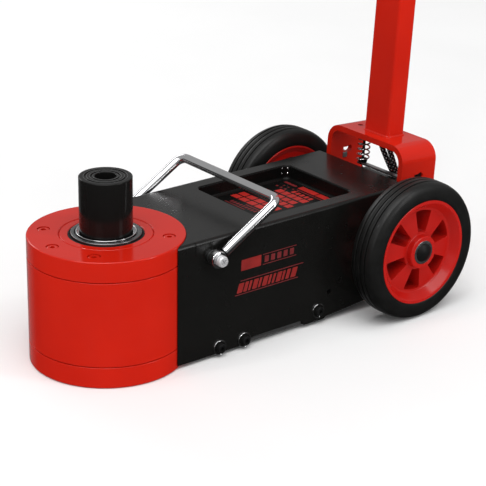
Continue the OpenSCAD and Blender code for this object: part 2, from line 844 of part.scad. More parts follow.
module piston_seal() {
    bore = motor_r - motor_wall;
    foot = motor_piston_z + ring_groove[0];
    color("dimgray") translate([motor_x, 0, 0])
        tube(bore - 0.3, bore - ring_groove[2], foot, foot + ring_groove[1]);
}

module motor_spring() {
    low = block_top + motor_floor + motor_wire + 0.1;
    high = motor_piston_z - motor_wire - 0.1;
    color("silver") translate([motor_x, 0, 0])
        sweep(coil(motor_spring_r, low, high, 5, 14), motor_wire, 6, [0, 0, 1]);
}

module release_valve() {
    color("silver") translate([valve_x, 0, 0]) difference() {
        union() {
            translate([0, 0, valve_seat_z]) cylinder(r = valve_body[0], h = valve_body[1]);
            translate([0, 0, valve_seat_z + valve_body[1]]) hex(valve_hex[0], valve_hex[1]);
        }
        translate([0, 0, valve_seat_z - 4]) cylinder(r = valve_r + running, h = 24);
    }
}

module release_plunger() {
    color("goldenrod") translate([valve_x, 0, 0]) {
        translate([0, 0, 32]) cylinder(r = valve_r, h = 24);
        translate([0, 0, 28]) cylinder(r1 = valve_r / 2, r2 = valve_r, h = 4);
    }
}

module hose_fittings() {
    color("goldenrod") for (p = [[motor_x + motor_r + 2, 0, motor_port_z], release_port])
        translate(p) rotate([0, 90, 0]) difference() {
            hex(hose_hex_r, fitting_len);
            translate([0, 0, fitting_len / 2]) cylinder(r = hose_r, h = fitting_len);
        }
}

// Routes of the two hoses: the lower stretch lies in the chassis, the upper one rides with the handle
supply_lower = [[253, 0, 130], [275, 0, 130], [310, -3, 129], [340, -7, 127], [370, -12, 125], [400, -16, 123],
    [425, -19, 118], [445, -22, 107], [460, -24, 100], [472, -24, 101]];
supply_upper = [[489, -24, 113], [495, -24, 124], [499, -22, 138], [498, -18, 153], [494, -13, 167],
    [490, -7, 182], [488, 2, 200], [488, 8, 225], [488, 9, 260]];
release_lower = [[246, -24, 40], [260, -24, 40], [278, -27, 43], [303, -33, 51], [335, -38, 64], [365, -42, 73],
    [395, -43, 77], [425, -43, 79], [448, -42, 87], [462, -40, 95], [472, -38, 101]];
release_upper = [[489, -38, 113], [496, -37, 124], [501, -33, 138], [500, -26, 153], [497, -20.5, 167],
    [494, -16, 182], [491, -11, 200], [491, -8, 225], [491, -8, 260]];

module hose_run(p) { color("dimgray") sweep(p, hose_r, 12, unit([0.1, 1, 0.05])); }

module supply_hose_lower() { hose_run(supply_lower); }
module supply_hose_upper() { hose_run(supply_upper); }
module release_hose_lower() { hose_run(release_lower); }
module release_hose_upper() { hose_run(release_upper); }

base_ring();
barrel_shell();
top_cap();
gland_nut();
ram_wiper();
cap_bolts();
inner_cylinder();
first_stage_piston();
first_stage_seal();
second_stage_ram();
second_stage_seal();
ram_extension();
chassis_shell();
tray_pan();
bottom_pan();
side_bolts();
side_washers();
side_nuts();
hinge_plates();
pivot_bolts();
pivot_nuts();
pivot_bushes();
axle();
axle_spacers();
tyre_left();
tyre_right();
rim_left();
rim_right();
hub_cap_left();
hub_cap_right();
bearings_left();
bearings_right();
bail_handle();
bail_screws();
yoke();
handle_tube();
cross_bar();
grips();
control_block();
lift_lever();
release_lever();
lever_pins();
latch_plate();
latch_rod();
latch_spring();
keeper_stud();
pump_block();
motor_cylinder();
motor_cap();
motor_piston();
piston_seal();
motor_spring();
release_valve();
release_plunger();
hose_fittings();
supply_hose_lower();
supply_hose_upper();
release_hose_lower();
release_hose_upper();
air_inlet();
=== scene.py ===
import json
import math

import bmesh
import bpy
from mathutils import Matrix, Vector


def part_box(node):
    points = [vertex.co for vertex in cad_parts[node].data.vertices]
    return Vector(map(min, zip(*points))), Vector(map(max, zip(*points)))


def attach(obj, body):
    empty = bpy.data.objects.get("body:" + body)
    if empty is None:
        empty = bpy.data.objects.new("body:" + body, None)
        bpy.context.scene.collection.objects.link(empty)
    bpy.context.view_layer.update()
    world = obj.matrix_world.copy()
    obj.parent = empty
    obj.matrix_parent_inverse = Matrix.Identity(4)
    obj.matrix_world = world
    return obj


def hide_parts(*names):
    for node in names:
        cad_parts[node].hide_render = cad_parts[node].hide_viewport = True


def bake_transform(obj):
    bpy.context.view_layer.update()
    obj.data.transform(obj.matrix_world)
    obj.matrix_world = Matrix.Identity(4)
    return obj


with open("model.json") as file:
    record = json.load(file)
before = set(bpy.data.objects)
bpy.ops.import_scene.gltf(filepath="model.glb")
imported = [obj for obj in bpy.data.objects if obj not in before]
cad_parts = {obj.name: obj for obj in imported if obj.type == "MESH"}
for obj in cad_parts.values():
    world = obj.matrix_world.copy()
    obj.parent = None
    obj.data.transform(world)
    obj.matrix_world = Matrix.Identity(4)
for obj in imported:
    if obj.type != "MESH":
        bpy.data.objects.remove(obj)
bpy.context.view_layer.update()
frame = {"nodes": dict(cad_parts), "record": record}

RECORD = frame["record"]
JOINTS = {j["name"]: j for j in RECORD["behaviour"]["joints"]}
SLOTS = {s["node"]: s["material_slot"] for s in RECORD["subparts"]}
MM = 0.001


# ---- places and sizes, in millimetres, from the frame ----

def low(node):
    return Vector(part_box(node)[0]) / MM


def high(node):
    return Vector(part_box(node)[1]) / MM


BARREL_R = high("base_ring").x
BASE_H = high("base_ring").z
CAP_Z = low("top_cap").z
BARREL_H = high("top_cap").z
CAP_BORE_R = high("gland_nut").y + 0.1
SEAL_R = high("ram_wiper").y
SEAM_GAP, SEAM_DEPTH = 0.55, 2.4
GLAND_H, WIPER_H = 24, 8
BOLT_HEAD_R, BOLT_R, POCKET_R, POCKET_H = 7.6, 5, 8.5, 11
BOLT_CIRCLE = -low("cap_bolts").x - BOLT_HEAD_R
STAGE_ONE_R = 46.7
STAGE_TWO_R = high("second_stage_ram").y
EXTENSION_R = high("ram_extension").y
SADDLE_Z = high("ram_extension").z
CHASSIS_W = high("chassis_shell").y
CHASSIS_TOP = high("chassis_shell").z
SHEET = 4
CHASSIS_FRONT, CHASSIS_REAR = 46, low("hinge_plates").x + SHEET
TRAY_LOW, TRAY_HIGH = low("tray_pan"), high("tray_pan")
AXLE_R = 10
AXLE = Vector((high("axle").x - AXLE_R, 0, high("axle").z - AXLE_R))
TYRE_R = high("tyre_left").x - AXLE.x
WHEEL_W = high("tyre_right").y - low("tyre_right").y
BAIL = Vector(JOINTS["bail_swing"]["pos_m"]) / MM
PIVOT = Vector(JOINTS["handle_tilt"]["pos_m"]) / MM
LATCH_AXIS = JOINTS["latch_lift"]["axis"]
LEAN = math.atan2(LATCH_AXIS[0], LATCH_AXIS[2])
YOKE_W = high("yoke").y
HANDLE_TOP = 1050
YOKE_TOP = 121.6
YOKE_T = 8.5
LEG_V, LEG_W = 62.8, 66.6
TUBE_V, TUBE_D, TUBE_W = 65.5, 33, 50.6
ROD_V, ROD_Y, ROD_R, LATCH_U, LATCH_T = 57, 30, 2, 66, 3
KEYHOLE_V, KEYHOLE_U, KEYHOLE_R, KEYWAY_V, KEYWAY_H = 67, 77, 5.2, 55.5, 3.2
TOP_HOLE_V, TOP_HOLE_Y, TOP_HOLE_R = 59.7, 43.7, 4
STUD_V, STUD_U, STUD_HALF = 59, 68.3, 4.25
FINE, ROUND, SMALL = 160, 128, 48

# From the handle's own frame (back, across, up from the axle) to the row frame
HANDLE = Matrix.Translation(AXLE) @ Matrix.Rotation(LEAN, 4, "Y")


# ---- camera ----

def add_camera():
    azimuth, elevation, roll = math.radians(-39.1), math.radians(21.96), math.radians(1.08)
    back = Vector((math.sin(azimuth) * math.cos(elevation), -math.cos(azimuth) * math.cos(elevation),
                   math.sin(elevation)))
    right = (-back).cross(Vector((0, 0, 1))).normalized()
    up = right.cross(-back)
    x_axis = right * math.cos(roll) + up * math.sin(roll)
    y_axis = up * math.cos(roll) - right * math.sin(roll)
    data = bpy.data.cameras.new("camera")
    data.sensor_width = 36
    data.lens = 127.15
    data.clip_end = 50
    camera = bpy.data.objects.new("camera", data)
    bpy.context.scene.collection.objects.link(camera)
    turn = Matrix((x_axis, y_axis, back)).transposed().to_4x4()
    camera.matrix_world = Matrix.Translation((-1.1699, -1.7221, 0.9998)) @ turn
    bpy.context.scene.camera = camera


add_camera()


# ---- materials ----

def nodes_of(name):
    material = bpy.data.materials.new(name)
    material.use_nodes = True
    tree = material.node_tree
    return material, tree, tree.nodes["Principled BSDF"]


def noise(tree, scale, detail=3.0, stretch=(1, 1, 1)):
    """A noise value over the object's own coordinates, in metres."""
    place = tree.nodes.new("ShaderNodeTexCoord")
    mapping = tree.nodes.new("ShaderNodeMapping")
    mapping.inputs["Scale"].default_value = stretch
    texture = tree.nodes.new("ShaderNodeTexNoise")
    texture.inputs["Scale"].default_value = scale
    texture.inputs["Detail"].default_value = detail
    tree.links.new(place.outputs["Object"], mapping.inputs["Vector"])
    tree.links.new(mapping.outputs["Vector"], texture.inputs["Vector"])
    return texture.outputs["Fac"]


def spread(tree, value, low_value, high_value, start=0.3, end=0.7):
    """The value, spread from start..end to low_value..high_value."""
    node = tree.nodes.new("ShaderNodeMapRange")
    node.inputs["From Min"].default_value = start
    node.inputs["From Max"].default_value = end
    node.inputs["To Min"].default_value = low_value
    node.inputs["To Max"].default_value = high_value
    tree.links.new(value, node.inputs["Value"])
    return node.outputs["Result"]


def mix(tree, factor, first, second):
    """The blend of two colours; each is a tuple or another node's output."""
    node = tree.nodes.new("ShaderNodeMix")
    node.data_type = "RGBA"
    tree.links.new(factor, node.inputs["Factor"])
    for key, colour in (("A", first), ("B", second)):
        if isinstance(colour, tuple):
            node.inputs[key].default_value = (*colour, 1)
        else:
            tree.links.new(colour, node.inputs[key])
    return node.outputs["Result"]


def bump(tree, shader, height, distance, strength=1.0):
    node = tree.nodes.new("ShaderNodeBump")
    node.inputs["Distance"].default_value = distance
    node.inputs["Strength"].default_value = strength
    tree.links.new(height, node.inputs["Height"])
    tree.links.new(node.outputs["Normal"], shader.inputs["Normal"])


def tone(tree, shader, value, dark, light):
    tree.links.new(mix(tree, spread(tree, value, 0, 1), dark, light), shader.inputs["Base Color"])


def gloss(tree, shader, value, roughness, less, more):
    tree.links.new(spread(tree, value, roughness * less, roughness * more), shader.inputs["Roughness"])


def paint(name, dark, light, roughness, peel=0.000001, specular=0.36, coat=0.0):
    """Gloss paint: a slow change of tone, orange peel, and a clear top layer."""
    material, tree, shader = nodes_of(name)
    shader.inputs["Specular IOR Level"].default_value = specular
    tone(tree, shader, noise(tree, 9), dark, light)
    gloss(tree, shader, noise(tree, 60), roughness, 0.85, 1.15)
    shader.inputs["Coat Weight"].default_value = coat
    shader.inputs["Coat Roughness"].default_value = 0.08
    bump(tree, shader, noise(tree, 140, 1), peel)
    return material


def metal(name, dark, light, roughness, grain=(1, 1, 1), scale=90, depth=0.000004, metallic=1.0):
    """Bare or plated metal; grain stretches its noise along an axis."""
    material, tree, shader = nodes_of(name)
    shader.inputs["Metallic"].default_value = metallic
    tone(tree, shader, noise(tree, scale, 4, grain), dark, light)
    gloss(tree, shader, noise(tree, scale * 3, 4, grain), roughness, 0.75, 1.3)
    bump(tree, shader, noise(tree, scale * 6, 3, grain), depth)
    return material


def plain(name, dark, light, roughness, scale=250, depth=0.00002, specular=0.3, coat=0.0):
    """Moulded plastic, print or rubber with a fine grain."""
    material, tree, shader = nodes_of(name)
    shader.inputs["Specular IOR Level"].default_value = specular
    tone(tree, shader, noise(tree, scale / 8), dark, light)
    gloss(tree, shader, noise(tree, scale / 3), roughness, 0.85, 1.15)
    shader.inputs["Coat Weight"].default_value = coat
    shader.inputs["Coat Roughness"].default_value = 0.12
    bump(tree, shader, noise(tree, scale, 4), depth)
    return material


def braided(name):
    """Woven steel and black yarn, laid out on the hose's own lengthwise and round coordinates."""
    material, tree, shader = nodes_of(name)
    place = tree.nodes.new("ShaderNodeTexCoord")
    split = tree.nodes.new("ShaderNodeSeparateXYZ")
    tree.links.new(place.outputs["UV"], split.inputs["Vector"])

    def op(kind, first, second):
        node = tree.nodes.new("ShaderNodeMath")
        node.operation = kind
        for socket, value in zip(node.inputs, (first, second)):
            if isinstance(value, (int, float)):
                socket.default_value = value
            else:
                tree.links.new(value, socket)
        return node.outputs[0]

    along, round_ = split.outputs["X"], split.outputs["Y"]
    one = op("SINE", op("MULTIPLY", op("ADD", along, round_), math.tau), 0)
    other = op("SINE", op("MULTIPLY", op("SUBTRACT", along, round_), math.tau), 0)
    weave = op("MINIMUM", one, other)
    height = op("MULTIPLY", op("ADD", weave, 1), 0.5)
    bright = spread(tree, weave, 0, 1, 0.15, 0.55)
    tree.links.new(mix(tree, bright, (0.010, 0.010, 0.011), (0.80, 0.80, 0.81)),
                   shader.inputs["Base Color"])
    tree.links.new(bright, shader.inputs["Metallic"])
    shader.inputs["Specular IOR Level"].default_value = 0.15
    shader.inputs["Roughness"].default_value = 0.38
    bump(tree, shader, height, 0.0006)
    return material


def grey(value):
    return (value, value, value)


RED = paint("red_paint", (0.54, 0.012, 0.004), (0.60, 0.015, 0.005), 0.13, 0.000002)
BLACK = paint("black_paint", (0.0060, 0.0058, 0.0053), (0.0078, 0.0076, 0.0070), 0.24)
PAN = paint("tray_paint", (0.0034, 0.0033, 0.0031), (0.0048, 0.0047, 0.0044), 0.28, 0.000003, 0.12)
RAM_BLACK = paint("ram_black", (0.0064, 0.0063, 0.0060), (0.0086, 0.0085, 0.0081), 0.14, specular=0.18)
GREY = paint("grey_paint", grey(0.05), grey(0.07), 0.5, 0.000006, 0.2, coat=0.1)
RIM = paint("red_rim", (0.44, 0.008, 0.005), (0.47, 0.010, 0.007), 0.2, specular=0.34)
PRINT = plain("red_print", (0.34, 0.013, 0.010), (0.44, 0.020, 0.015), 0.38, 500, 0.000005)
PRINT_SIDE = plain("side_print", (0.22, 0.010, 0.009), (0.30, 0.015, 0.012), 0.38, 500, 0.000005)
PRINT_DIM = plain("dim_print", (0.14, 0.012, 0.014), (0.19, 0.016, 0.018), 0.42, 500, 0.000005)
CHROME = metal("bright_chrome", (0.80, 0.80, 0.81), (0.86, 0.86, 0.87), 0.07, scale=40, depth=0.0000005)
PISTON = metal("piston_steel", (0.20, 0.20, 0.205), (0.25, 0.25, 0.255), 0.30, (1, 1, 6), 30, 0.0000008)
ZINC = metal("zinc_steel", (0.42, 0.43, 0.44), (0.54, 0.55, 0.56), 0.34)
NICKEL = metal("satin_nickel", (0.70, 0.70, 0.71), (0.80, 0.80, 0.81), 0.30, scale=60, depth=0.000001,
               metallic=0.5)
# Painted highlight: light grey metal for the bright lines on the saddle's ring edges
EDGE_HIGHLIGHT = metal("painted_edge_highlight", grey(0.16), grey(0.26), 0.35, scale=60, depth=0.000001)
SPRING = metal("spring_steel", (0.46, 0.47, 0.48), (0.62, 0.63, 0.64), 0.22)
BRASS = metal("brass", (0.58, 0.40, 0.16), (0.70, 0.50, 0.22), 0.28)
ALUMINIUM = metal("cast_aluminium", (0.48, 0.49, 0.50), (0.60, 0.61, 0.62), 0.45, scale=160, depth=0.00002)
TYRE = plain("tyre_rubber", (0.0052, 0.0052, 0.0049), (0.0082, 0.0082, 0.0078), 0.42, 600, 0.00001,
             coat=0.05)
PLASTIC = plain("black_plastic", grey(0.006), grey(0.010), 0.40, 500, 0.00001, 0.14)
RUBBER = plain("black_rubber", grey(0.007), grey(0.012), 0.58, 700, 0.00003)
BRAID = braided("hose_braid")

SLOT_MATERIAL = {
    "red_paint": RED, "black_paint": BLACK, "grey_steel": GREY, "black_ram": RAM_BLACK,
    "bright_chrome": CHROME, "zinc_steel": ZINC, "tyre_rubber": TYRE, "red_rim": RIM,
    "black_plastic": PLASTIC, "black_rubber": RUBBER, "brass_fitting": BRASS,
    "cast_aluminium": ALUMINIUM, "hose_braid": BRAID,
}


def dress_frame():
    """Every CAD node takes its finish, whether a finer piece stands for it or not."""
    for name, obj in frame["nodes"].items():
        obj.data.materials.clear()
        obj.data.materials.append(SLOT_MATERIAL[SLOTS[name]])


dress_frame()


# ---- mesh tools ----

# Turns an outline in Y and Z that was extruded along Z to run along X
LENGTHWISE = Matrix(((0, 0, 1, 0), (1, 0, 0, 0), (0, 1, 0, 0), (0, 0, 0, 1)))


stood_for = set()


def recalculated(mesh):
    """The mesh with all its faces turned outward."""
    work = bmesh.new()
    work.from_mesh(mesh)
    bmesh.ops.recalc_face_normals(work, faces=work.faces)
    work.to_mesh(mesh)
    work.free()
    return mesh


def finished(name, mesh, material, body, replaces=(), sharp=32, weighted=True):
    """A mesh in millimetres becomes a piece on its body."""
    mesh.transform(Matrix.Scale(MM, 4))
    recalculated(mesh)
    for face in mesh.polygons:
        face.use_smooth = True
    mesh.set_sharp_from_angle(angle=math.radians(sharp))
    mesh.materials.append(material)
    obj = bpy.data.objects.new(name, mesh)
    bpy.context.scene.collection.objects.link(obj)
    if weighted:
        normals = obj.modifiers.new("normals", "WEIGHTED_NORMAL")
        normals.keep_sharp = True
    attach(obj, body)
    if replaces:
        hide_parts(*replaces)
        stood_for.update(replaces)
    return obj


def mesh_of(points, faces):
    mesh = bpy.data.meshes.new("mesh")
    mesh.from_pydata([tuple(p) for p in points], [], faces)
    mesh.update()
    return mesh


def joined(meshes):
    work = bmesh.new()
    for mesh in meshes:
        work.from_mesh(mesh)
    result = bpy.data.meshes.new("mesh")
    work.to_mesh(result)
    work.free()
    return result


def moved(mesh, matrix):
    copy = mesh.copy()
    copy.transform(matrix)
    return copy


def with_modifiers(mesh, add):
    """The mesh with the modifiers that add() puts on a stand-in object, applied."""
    obj = bpy.data.objects.new("work", mesh)
    bpy.context.scene.collection.objects.link(obj)
    add(obj)
    graph = bpy.context.evaluated_depsgraph_get()
    result = bpy.data.meshes.new_from_object(obj.evaluated_get(graph))
    bpy.data.objects.remove(obj)
    return result


def cut(mesh, cutters):
    """The mesh with the cutters' space taken out."""
    tool = bpy.data.objects.new("tool", recalculated(joined([recalculated(c) for c in cutters])))
    bpy.context.scene.collection.objects.link(tool)

    def add(obj):
        modifier = obj.modifiers.new("cut", "BOOLEAN")
        modifier.operation = "DIFFERENCE"
        modifier.solver = "EXACT"
        modifier.use_self = True
        modifier.object = tool

    result = with_modifiers(recalculated(mesh), add)
    bpy.data.objects.remove(tool)
    return result


def bevelled(mesh, width, steps=2, angle=38):
    def add(obj):
        modifier = obj.modifiers.new("bevel", "BEVEL")
        modifier.width = width
        modifier.segments = steps
        modifier.limit_method = "ANGLE"
        modifier.angle_limit = math.radians(angle)
    return with_modifiers(recalculated(mesh), add)


def rounded(points, radius, steps=4):
    """A polygon with its corners turned into arcs; radius is one value, or one for each corner."""
    count = len(points)
    radii = radius if isinstance(radius, (list, tuple)) else [radius] * count
    result = []
    for i, point in enumerate(points):
        here = Vector(point)
        if radii[i] <= 0:
            result.append(here)
            continue
        before, after = Vector(points[i - 1]) - here, Vector(points[(i + 1) % count]) - here
        angle = before.angle(after)
        if angle > math.pi - 0.02:
            result.append(here)
            continue
        reach = min(radii[i] / math.tan(angle / 2), before.length * 0.49, after.length * 0.49)
        r = reach * math.tan(angle / 2)
        centre = here + (before.normalized() + after.normalized()).normalized() * r / math.sin(angle / 2)
        first = here + before.normalized() * reach - centre
        last = here + after.normalized() * reach - centre
        sweep = first.angle_signed(last)
        for k in range(steps + 1):
            t = -sweep * k / steps
            c, s = math.cos(t), math.sin(t)
            result.append(centre + Vector((first.x * c - first.y * s, first.x * s + first.y * c)))
    return result


def lathe(profile, count=96, closed=True):
    """The profile's (radius, height) points turned about Z. Points at radius 0 become poles."""
    points, faces, rows = [], [], []
    for r, h in profile:
        if r < 1e-6:
            rows.append([len(points)] * count)
            points.append((0, 0, h))
        else:
            rows.append(list(range(len(points), len(points) + count)))
            points += [(x, y, h) for x, y in polygon(r, count)]
    pairs = list(zip(rows, rows[1:])) + ([(rows[-1], rows[0])] if closed else [])
    for a, b in pairs:
        for k in range(count):
            n = (k + 1) % count
            corners = []
            for index in (a[k], a[n], b[n], b[k]):
                if index not in corners:
                    corners.append(index)
            if len(corners) > 2:
                faces.append(corners)
    return mesh_of(points, faces)


def ring(outer, inner, z0, z1, edge=0.6, count=96):
    return lathe(rounded([(inner, z0), (outer, z0), (outer, z1), (inner, z1)], edge, 3), count)


def drum(radius, z0, z1, edge=0.6, count=64):
    outline = [(0, z0), (radius, z0), (radius, z1), (0, z1)]
    return lathe(rounded(outline, [0, edge, edge, 0], 3), count, closed=False)


def quads(first, second, count):
    """Faces between two rings of points, given the index of each ring's first point."""
    return [[first + k, first + (k + 1) % count, second + (k + 1) % count, second + k] for k in range(count)]


def prism(outline, z0, z1):
    """A flat outline in X and Y, extruded from z0 to z1."""
    count = len(outline)
    points = [(x, y, z0) for x, y in outline] + [(x, y, z1) for x, y in outline]
    faces = [list(range(count))[::-1], list(range(count, 2 * count))]
    return mesh_of(points, faces + quads(0, count, count))


def box_mesh(low_corner, high_corner):
    (x0, y0, z0), (x1, y1, z1) = low_corner, high_corner
    return prism([(x0, y0), (x1, y0), (x1, y1), (x0, y1)], z0, z1)


def polygon(radius, sides):
    return [(radius * math.cos(math.tau * k / sides), radius * math.sin(math.tau * k / sides))
            for k in range(sides)]


def rectangle(width, depth, corner, steps=6):
    w, d = width / 2, depth / 2
    return rounded([(-w, -d), (w, -d), (w, d), (-w, d)], corner, steps)


def outward(side, x=0.0, y=0.0, z=0.0):
    """Where something built on Z stands out along Y, to the far side (1) or the near side (-1)."""
    return Matrix.Translation((x, side * y, z)) @ Matrix.Rotation(-side * math.pi / 2, 4, "X")


def along_y(mesh, side=1):
    return moved(mesh, outward(side))


def at(mesh, x=0.0, y=0.0, z=0.0):
    return moved(mesh, Matrix.Translation((x, y, z)))


def bore(x, z, radius, count, reach=120):
    """A drum along Y, through both sides."""
    return at(along_y(drum(radius, -reach, reach, 0, count)), x, 0, z)


def smooth_line(points, per_span=10):
    """Points on a Catmull-Rom curve through the given ones."""
    pts = [Vector(p) for p in points]
    pts = [pts[0] * 2 - pts[1]] + pts + [pts[-1] * 2 - pts[-2]]
    line = []
    for a, b, c, d in zip(pts, pts[1:], pts[2:], pts[3:]):
        for k in range(per_span):
            t = k / per_span
            line.append(0.5 * (2 * b + (c - a) * t + (2 * a - 5 * b + 4 * c - d) * t * t
                               + (3 * b - a - 3 * c + d) * t ** 3))
    line.append(pts[-2])
    return line


def tube_along(line, radius, sides=16, turns_per_mm=0.0, strands=1.0):
    """A round bar or hose along a line, with caps, and lengthwise and round coordinates where asked for."""
    line = [Vector(p) for p in line]
    points, faces, lengths = [], [], [0.0]
    normal = None
    for a, b in zip(line, line[1:]):
        lengths.append(lengths[-1] + (b - a).length)
    for i, point in enumerate(line):
        heading = (line[min(i + 1, len(line) - 1)] - line[max(i - 1, 0)]).normalized()
        if normal is None:
            normal = heading.orthogonal().normalized()
        normal = (normal - heading * normal.dot(heading)).normalized()
        across = heading.cross(normal)
        points += [point + radius * (normal * x + across * y) for x, y in polygon(1, sides)]
    for i in range(len(line) - 1):
        faces += quads(i * sides, (i + 1) * sides, sides)
    last = (len(line) - 1) * sides
    faces += [list(range(sides))[::-1], list(range(last, last + sides))]
    mesh = mesh_of(points, faces)
    if turns_per_mm:
        layer = mesh.uv_layers.new(name="weave")
        for i in range(len(line) - 1):
            for k in range(sides):
                face = mesh.polygons[i * sides + k]
                u0, u1 = lengths[i] * turns_per_mm, lengths[i + 1] * turns_per_mm
                v0, v1 = k * strands / sides, (k + 1) * strands / sides
                corners = {i * sides + k: (u0, v0), i * sides + (k + 1) % sides: (u0, v1),
                           (i + 1) * sides + (k + 1) % sides: (u1, v1), (i + 1) * sides + k: (u1, v0)}
                for loop in face.loop_indices:
                    layer.data[loop].uv = corners[mesh.loops[loop].vertex_index]
    return mesh


# ---- lifting cylinder ----

BOLT_ANGLES = [45, 135, 180, 225, 315]


def around(mesh, angles, radius):
    return [moved(mesh, Matrix.Rotation(math.radians(a), 4, "Z") @ Matrix.Translation((radius, 0, 0)))
            for a in angles]


def build_base_and_jacket():
    wall, floor = BARREL_R - 7, 14
    inner = BARREL_R - SEAM_DEPTH
    base = [(0, 0), (BARREL_R - 1.5, 0), (BARREL_R, 1.5), (BARREL_R, BASE_H - SEAM_GAP),
            (inner, BASE_H - SEAM_GAP), (inner, BASE_H), (wall, BASE_H), (wall, floor), (0, floor)]
    base = lathe(rounded(base, [0, 1.5, 1.5, 0.8, 0, 0, 0.3, 1, 0], 4), FINE, closed=False)
    finished("turned_base", base, RED, "chassis", ["base_ring"])
    jacket = [(wall, BASE_H), (inner, BASE_H), (inner, BASE_H + SEAM_GAP), (BARREL_R, BASE_H + SEAM_GAP),
              (BARREL_R, CAP_Z - SEAM_GAP), (inner, CAP_Z - SEAM_GAP), (inner, CAP_Z), (wall, CAP_Z)]
    jacket = lathe(rounded(jacket, [0, 0, 0, 0.8, 0.8, 0, 0, 0], 4), FINE)
    finished("cylinder_jacket", jacket, RED, "chassis", ["barrel_shell"])


def build_cap():
    inner = BARREL_R - SEAM_DEPTH
    outline = [(CAP_BORE_R, CAP_Z), (inner, CAP_Z), (inner, CAP_Z + SEAM_GAP), (BARREL_R, CAP_Z + SEAM_GAP),
               (BARREL_R, BARREL_H), (CAP_BORE_R + 1.2, BARREL_H), (CAP_BORE_R, BARREL_H - 1.6)]
    cap = lathe(rounded(outline, [0, 0, 0, 0.8, 1.7, 0.4, 0.4], 6), FINE)
    holes = around(drum(BOLT_R + 0.5, CAP_Z - 2, BARREL_H, 0, 24), BOLT_ANGLES, BOLT_CIRCLE)
    pockets = around(drum(POCKET_R, BARREL_H - POCKET_H, BARREL_H + 5, 0, SMALL), BOLT_ANGLES, BOLT_CIRCLE)
    cap = bevelled(cut(cut(cap, pockets), holes), 0.7, 2, 60)
    finished("cylinder_cap", cap, RED, "chassis", ["top_cap"])


def build_gland():
    bore, outer = STAGE_ONE_R + 0.1, CAP_BORE_R - 0.1
    foot, seat, face = BARREL_H - GLAND_H, BARREL_H - WIPER_H, BARREL_H - 0.3
    nut = [(bore, foot), (outer, foot), (outer, BARREL_H - 1.9), (outer - 1.2, face), (SEAL_R + 1, face),
           (SEAL_R + 0.1, BARREL_H - 1.2), (SEAL_R + 0.1, seat), (bore, seat)]
    finished("gland_ring", lathe(rounded(nut, [0, 0, 0.4, 0.4, 0.4, 0.4, 0, 0], 3), ROUND), RED, "chassis",
             ["gland_nut"])
    touch, top = STAGE_ONE_R + 0.3, BARREL_H - 0.8
    lip = [(touch, seat), (SEAL_R, seat), (SEAL_R, top), (SEAL_R - 1.2, top), (touch + 0.5, BARREL_H - 2.2),
           (touch, BARREL_H - 1.2)]
    finished("wiper_lip", lathe(rounded(lip, [0, 0, 0.5, 0.3, 0.3, 0.2], 3), ROUND), RUBBER, "chassis",
             ["ram_wiper"])


def screw_head(radius, foot, top, edge, socket_r, socket_z, count):
    """A cylinder head with a hexagon socket."""
    outline = [(0, foot), (radius, foot), (radius, top), (0, top)]
    head = lathe(rounded(outline, [0, 0.2, edge, 0], 3), count, closed=False)
    return cut(head, [prism(polygon(socket_r, 6), socket_z, top + 3)])


def build_cap_bolts():
    foot = BARREL_H - POCKET_H
    head = screw_head(BOLT_HEAD_R, foot, BARREL_H - 0.8, 0.9, 3.75, BARREL_H - 6.5, SMALL)
    shank = drum(BOLT_R, 6, foot, 0.3, 24)
    bolts = joined(around(bevelled(head, 0.35, 2, 45), BOLT_ANGLES, BOLT_CIRCLE)
                   + around(shank, BOLT_ANGLES, BOLT_CIRCLE))
    finished("cap_screws", bolts, RED, "chassis", ["cap_bolts"])


def build_first_stage():
    foot, top = low("first_stage_piston").z, high("first_stage_piston").z
    floor = low("second_stage_ram").z - 1
    outer, groove, inner, recess = 52, 48.1, STAGE_TWO_R + 0.05, STAGE_TWO_R + 1.75
    outline = [(0, foot), (outer, foot), (outer, foot + 7), (groove, foot + 7), (groove, foot + 13),
               (outer, foot + 13), (outer, foot + 20), (STAGE_ONE_R, foot + 20), (STAGE_ONE_R, top),
               (recess, top), (recess, top - 5), (inner, top - 5), (inner, floor), (0, floor)]
    sizes = [0, 0.5, 0, 0, 0, 0, 0.5, 0.5, 1.1, 0.5, 0, 0, 0, 0]
    finished("outer_stage", lathe(rounded(outline, sizes, 3), ROUND, closed=False), PISTON, "first_stage",
             ["first_stage_piston"])


def build_second_stage():
    foot, top, floor = low("second_stage_ram").z, high("second_stage_ram").z, 112
    outer, groove, step, socket = STAGE_TWO_R, STAGE_TWO_R - 3.5, STAGE_TWO_R - 2, EXTENSION_R + 0.05
    outline = [(0, foot), (outer, foot), (outer, foot + 6), (groove, foot + 6), (groove, foot + 11),
               (outer, foot + 11), (outer, top), (step, top), (step, top - 9), (socket, top - 9),
               (socket, floor), (0, floor)]
    sizes = [0, 0.6, 0, 0, 0, 0, 0.5, 0.5, 0, 0, 0, 0]
    finished("inner_stage", lathe(rounded(outline, sizes, 3), ROUND, closed=False), CHROME, "second_stage",
             ["second_stage_ram"])


def build_extension():
    """Black extension piece; its face has rings around a stepped hole."""
    foot = low("ram_extension").z
    z = SADDLE_Z
    outline = [(0, z - 60), (9.5, z - 60), (9.5, z - 22), (14, z - 22), (14, z), (17.3, z), (17.3, z - 1.5),
               (19.7, z - 1.5), (19.7, z), (25.3, z), (25.3, z - 1.5), (27.7, z - 1.5), (27.7, z),
               (EXTENSION_R, z), (EXTENSION_R, foot), (0, foot)]
    sizes = [0, 0, 0, 0.3, 0.7, 0.5, 0.3, 0.3, 0.5, 0.5, 0.3, 0.3, 0.5, 1.3, 0.8, 0]
    finished("extension_piece", lathe(rounded(outline, sizes, 4), ROUND, closed=False), RAM_BLACK,
             "extension", ["ram_extension"])


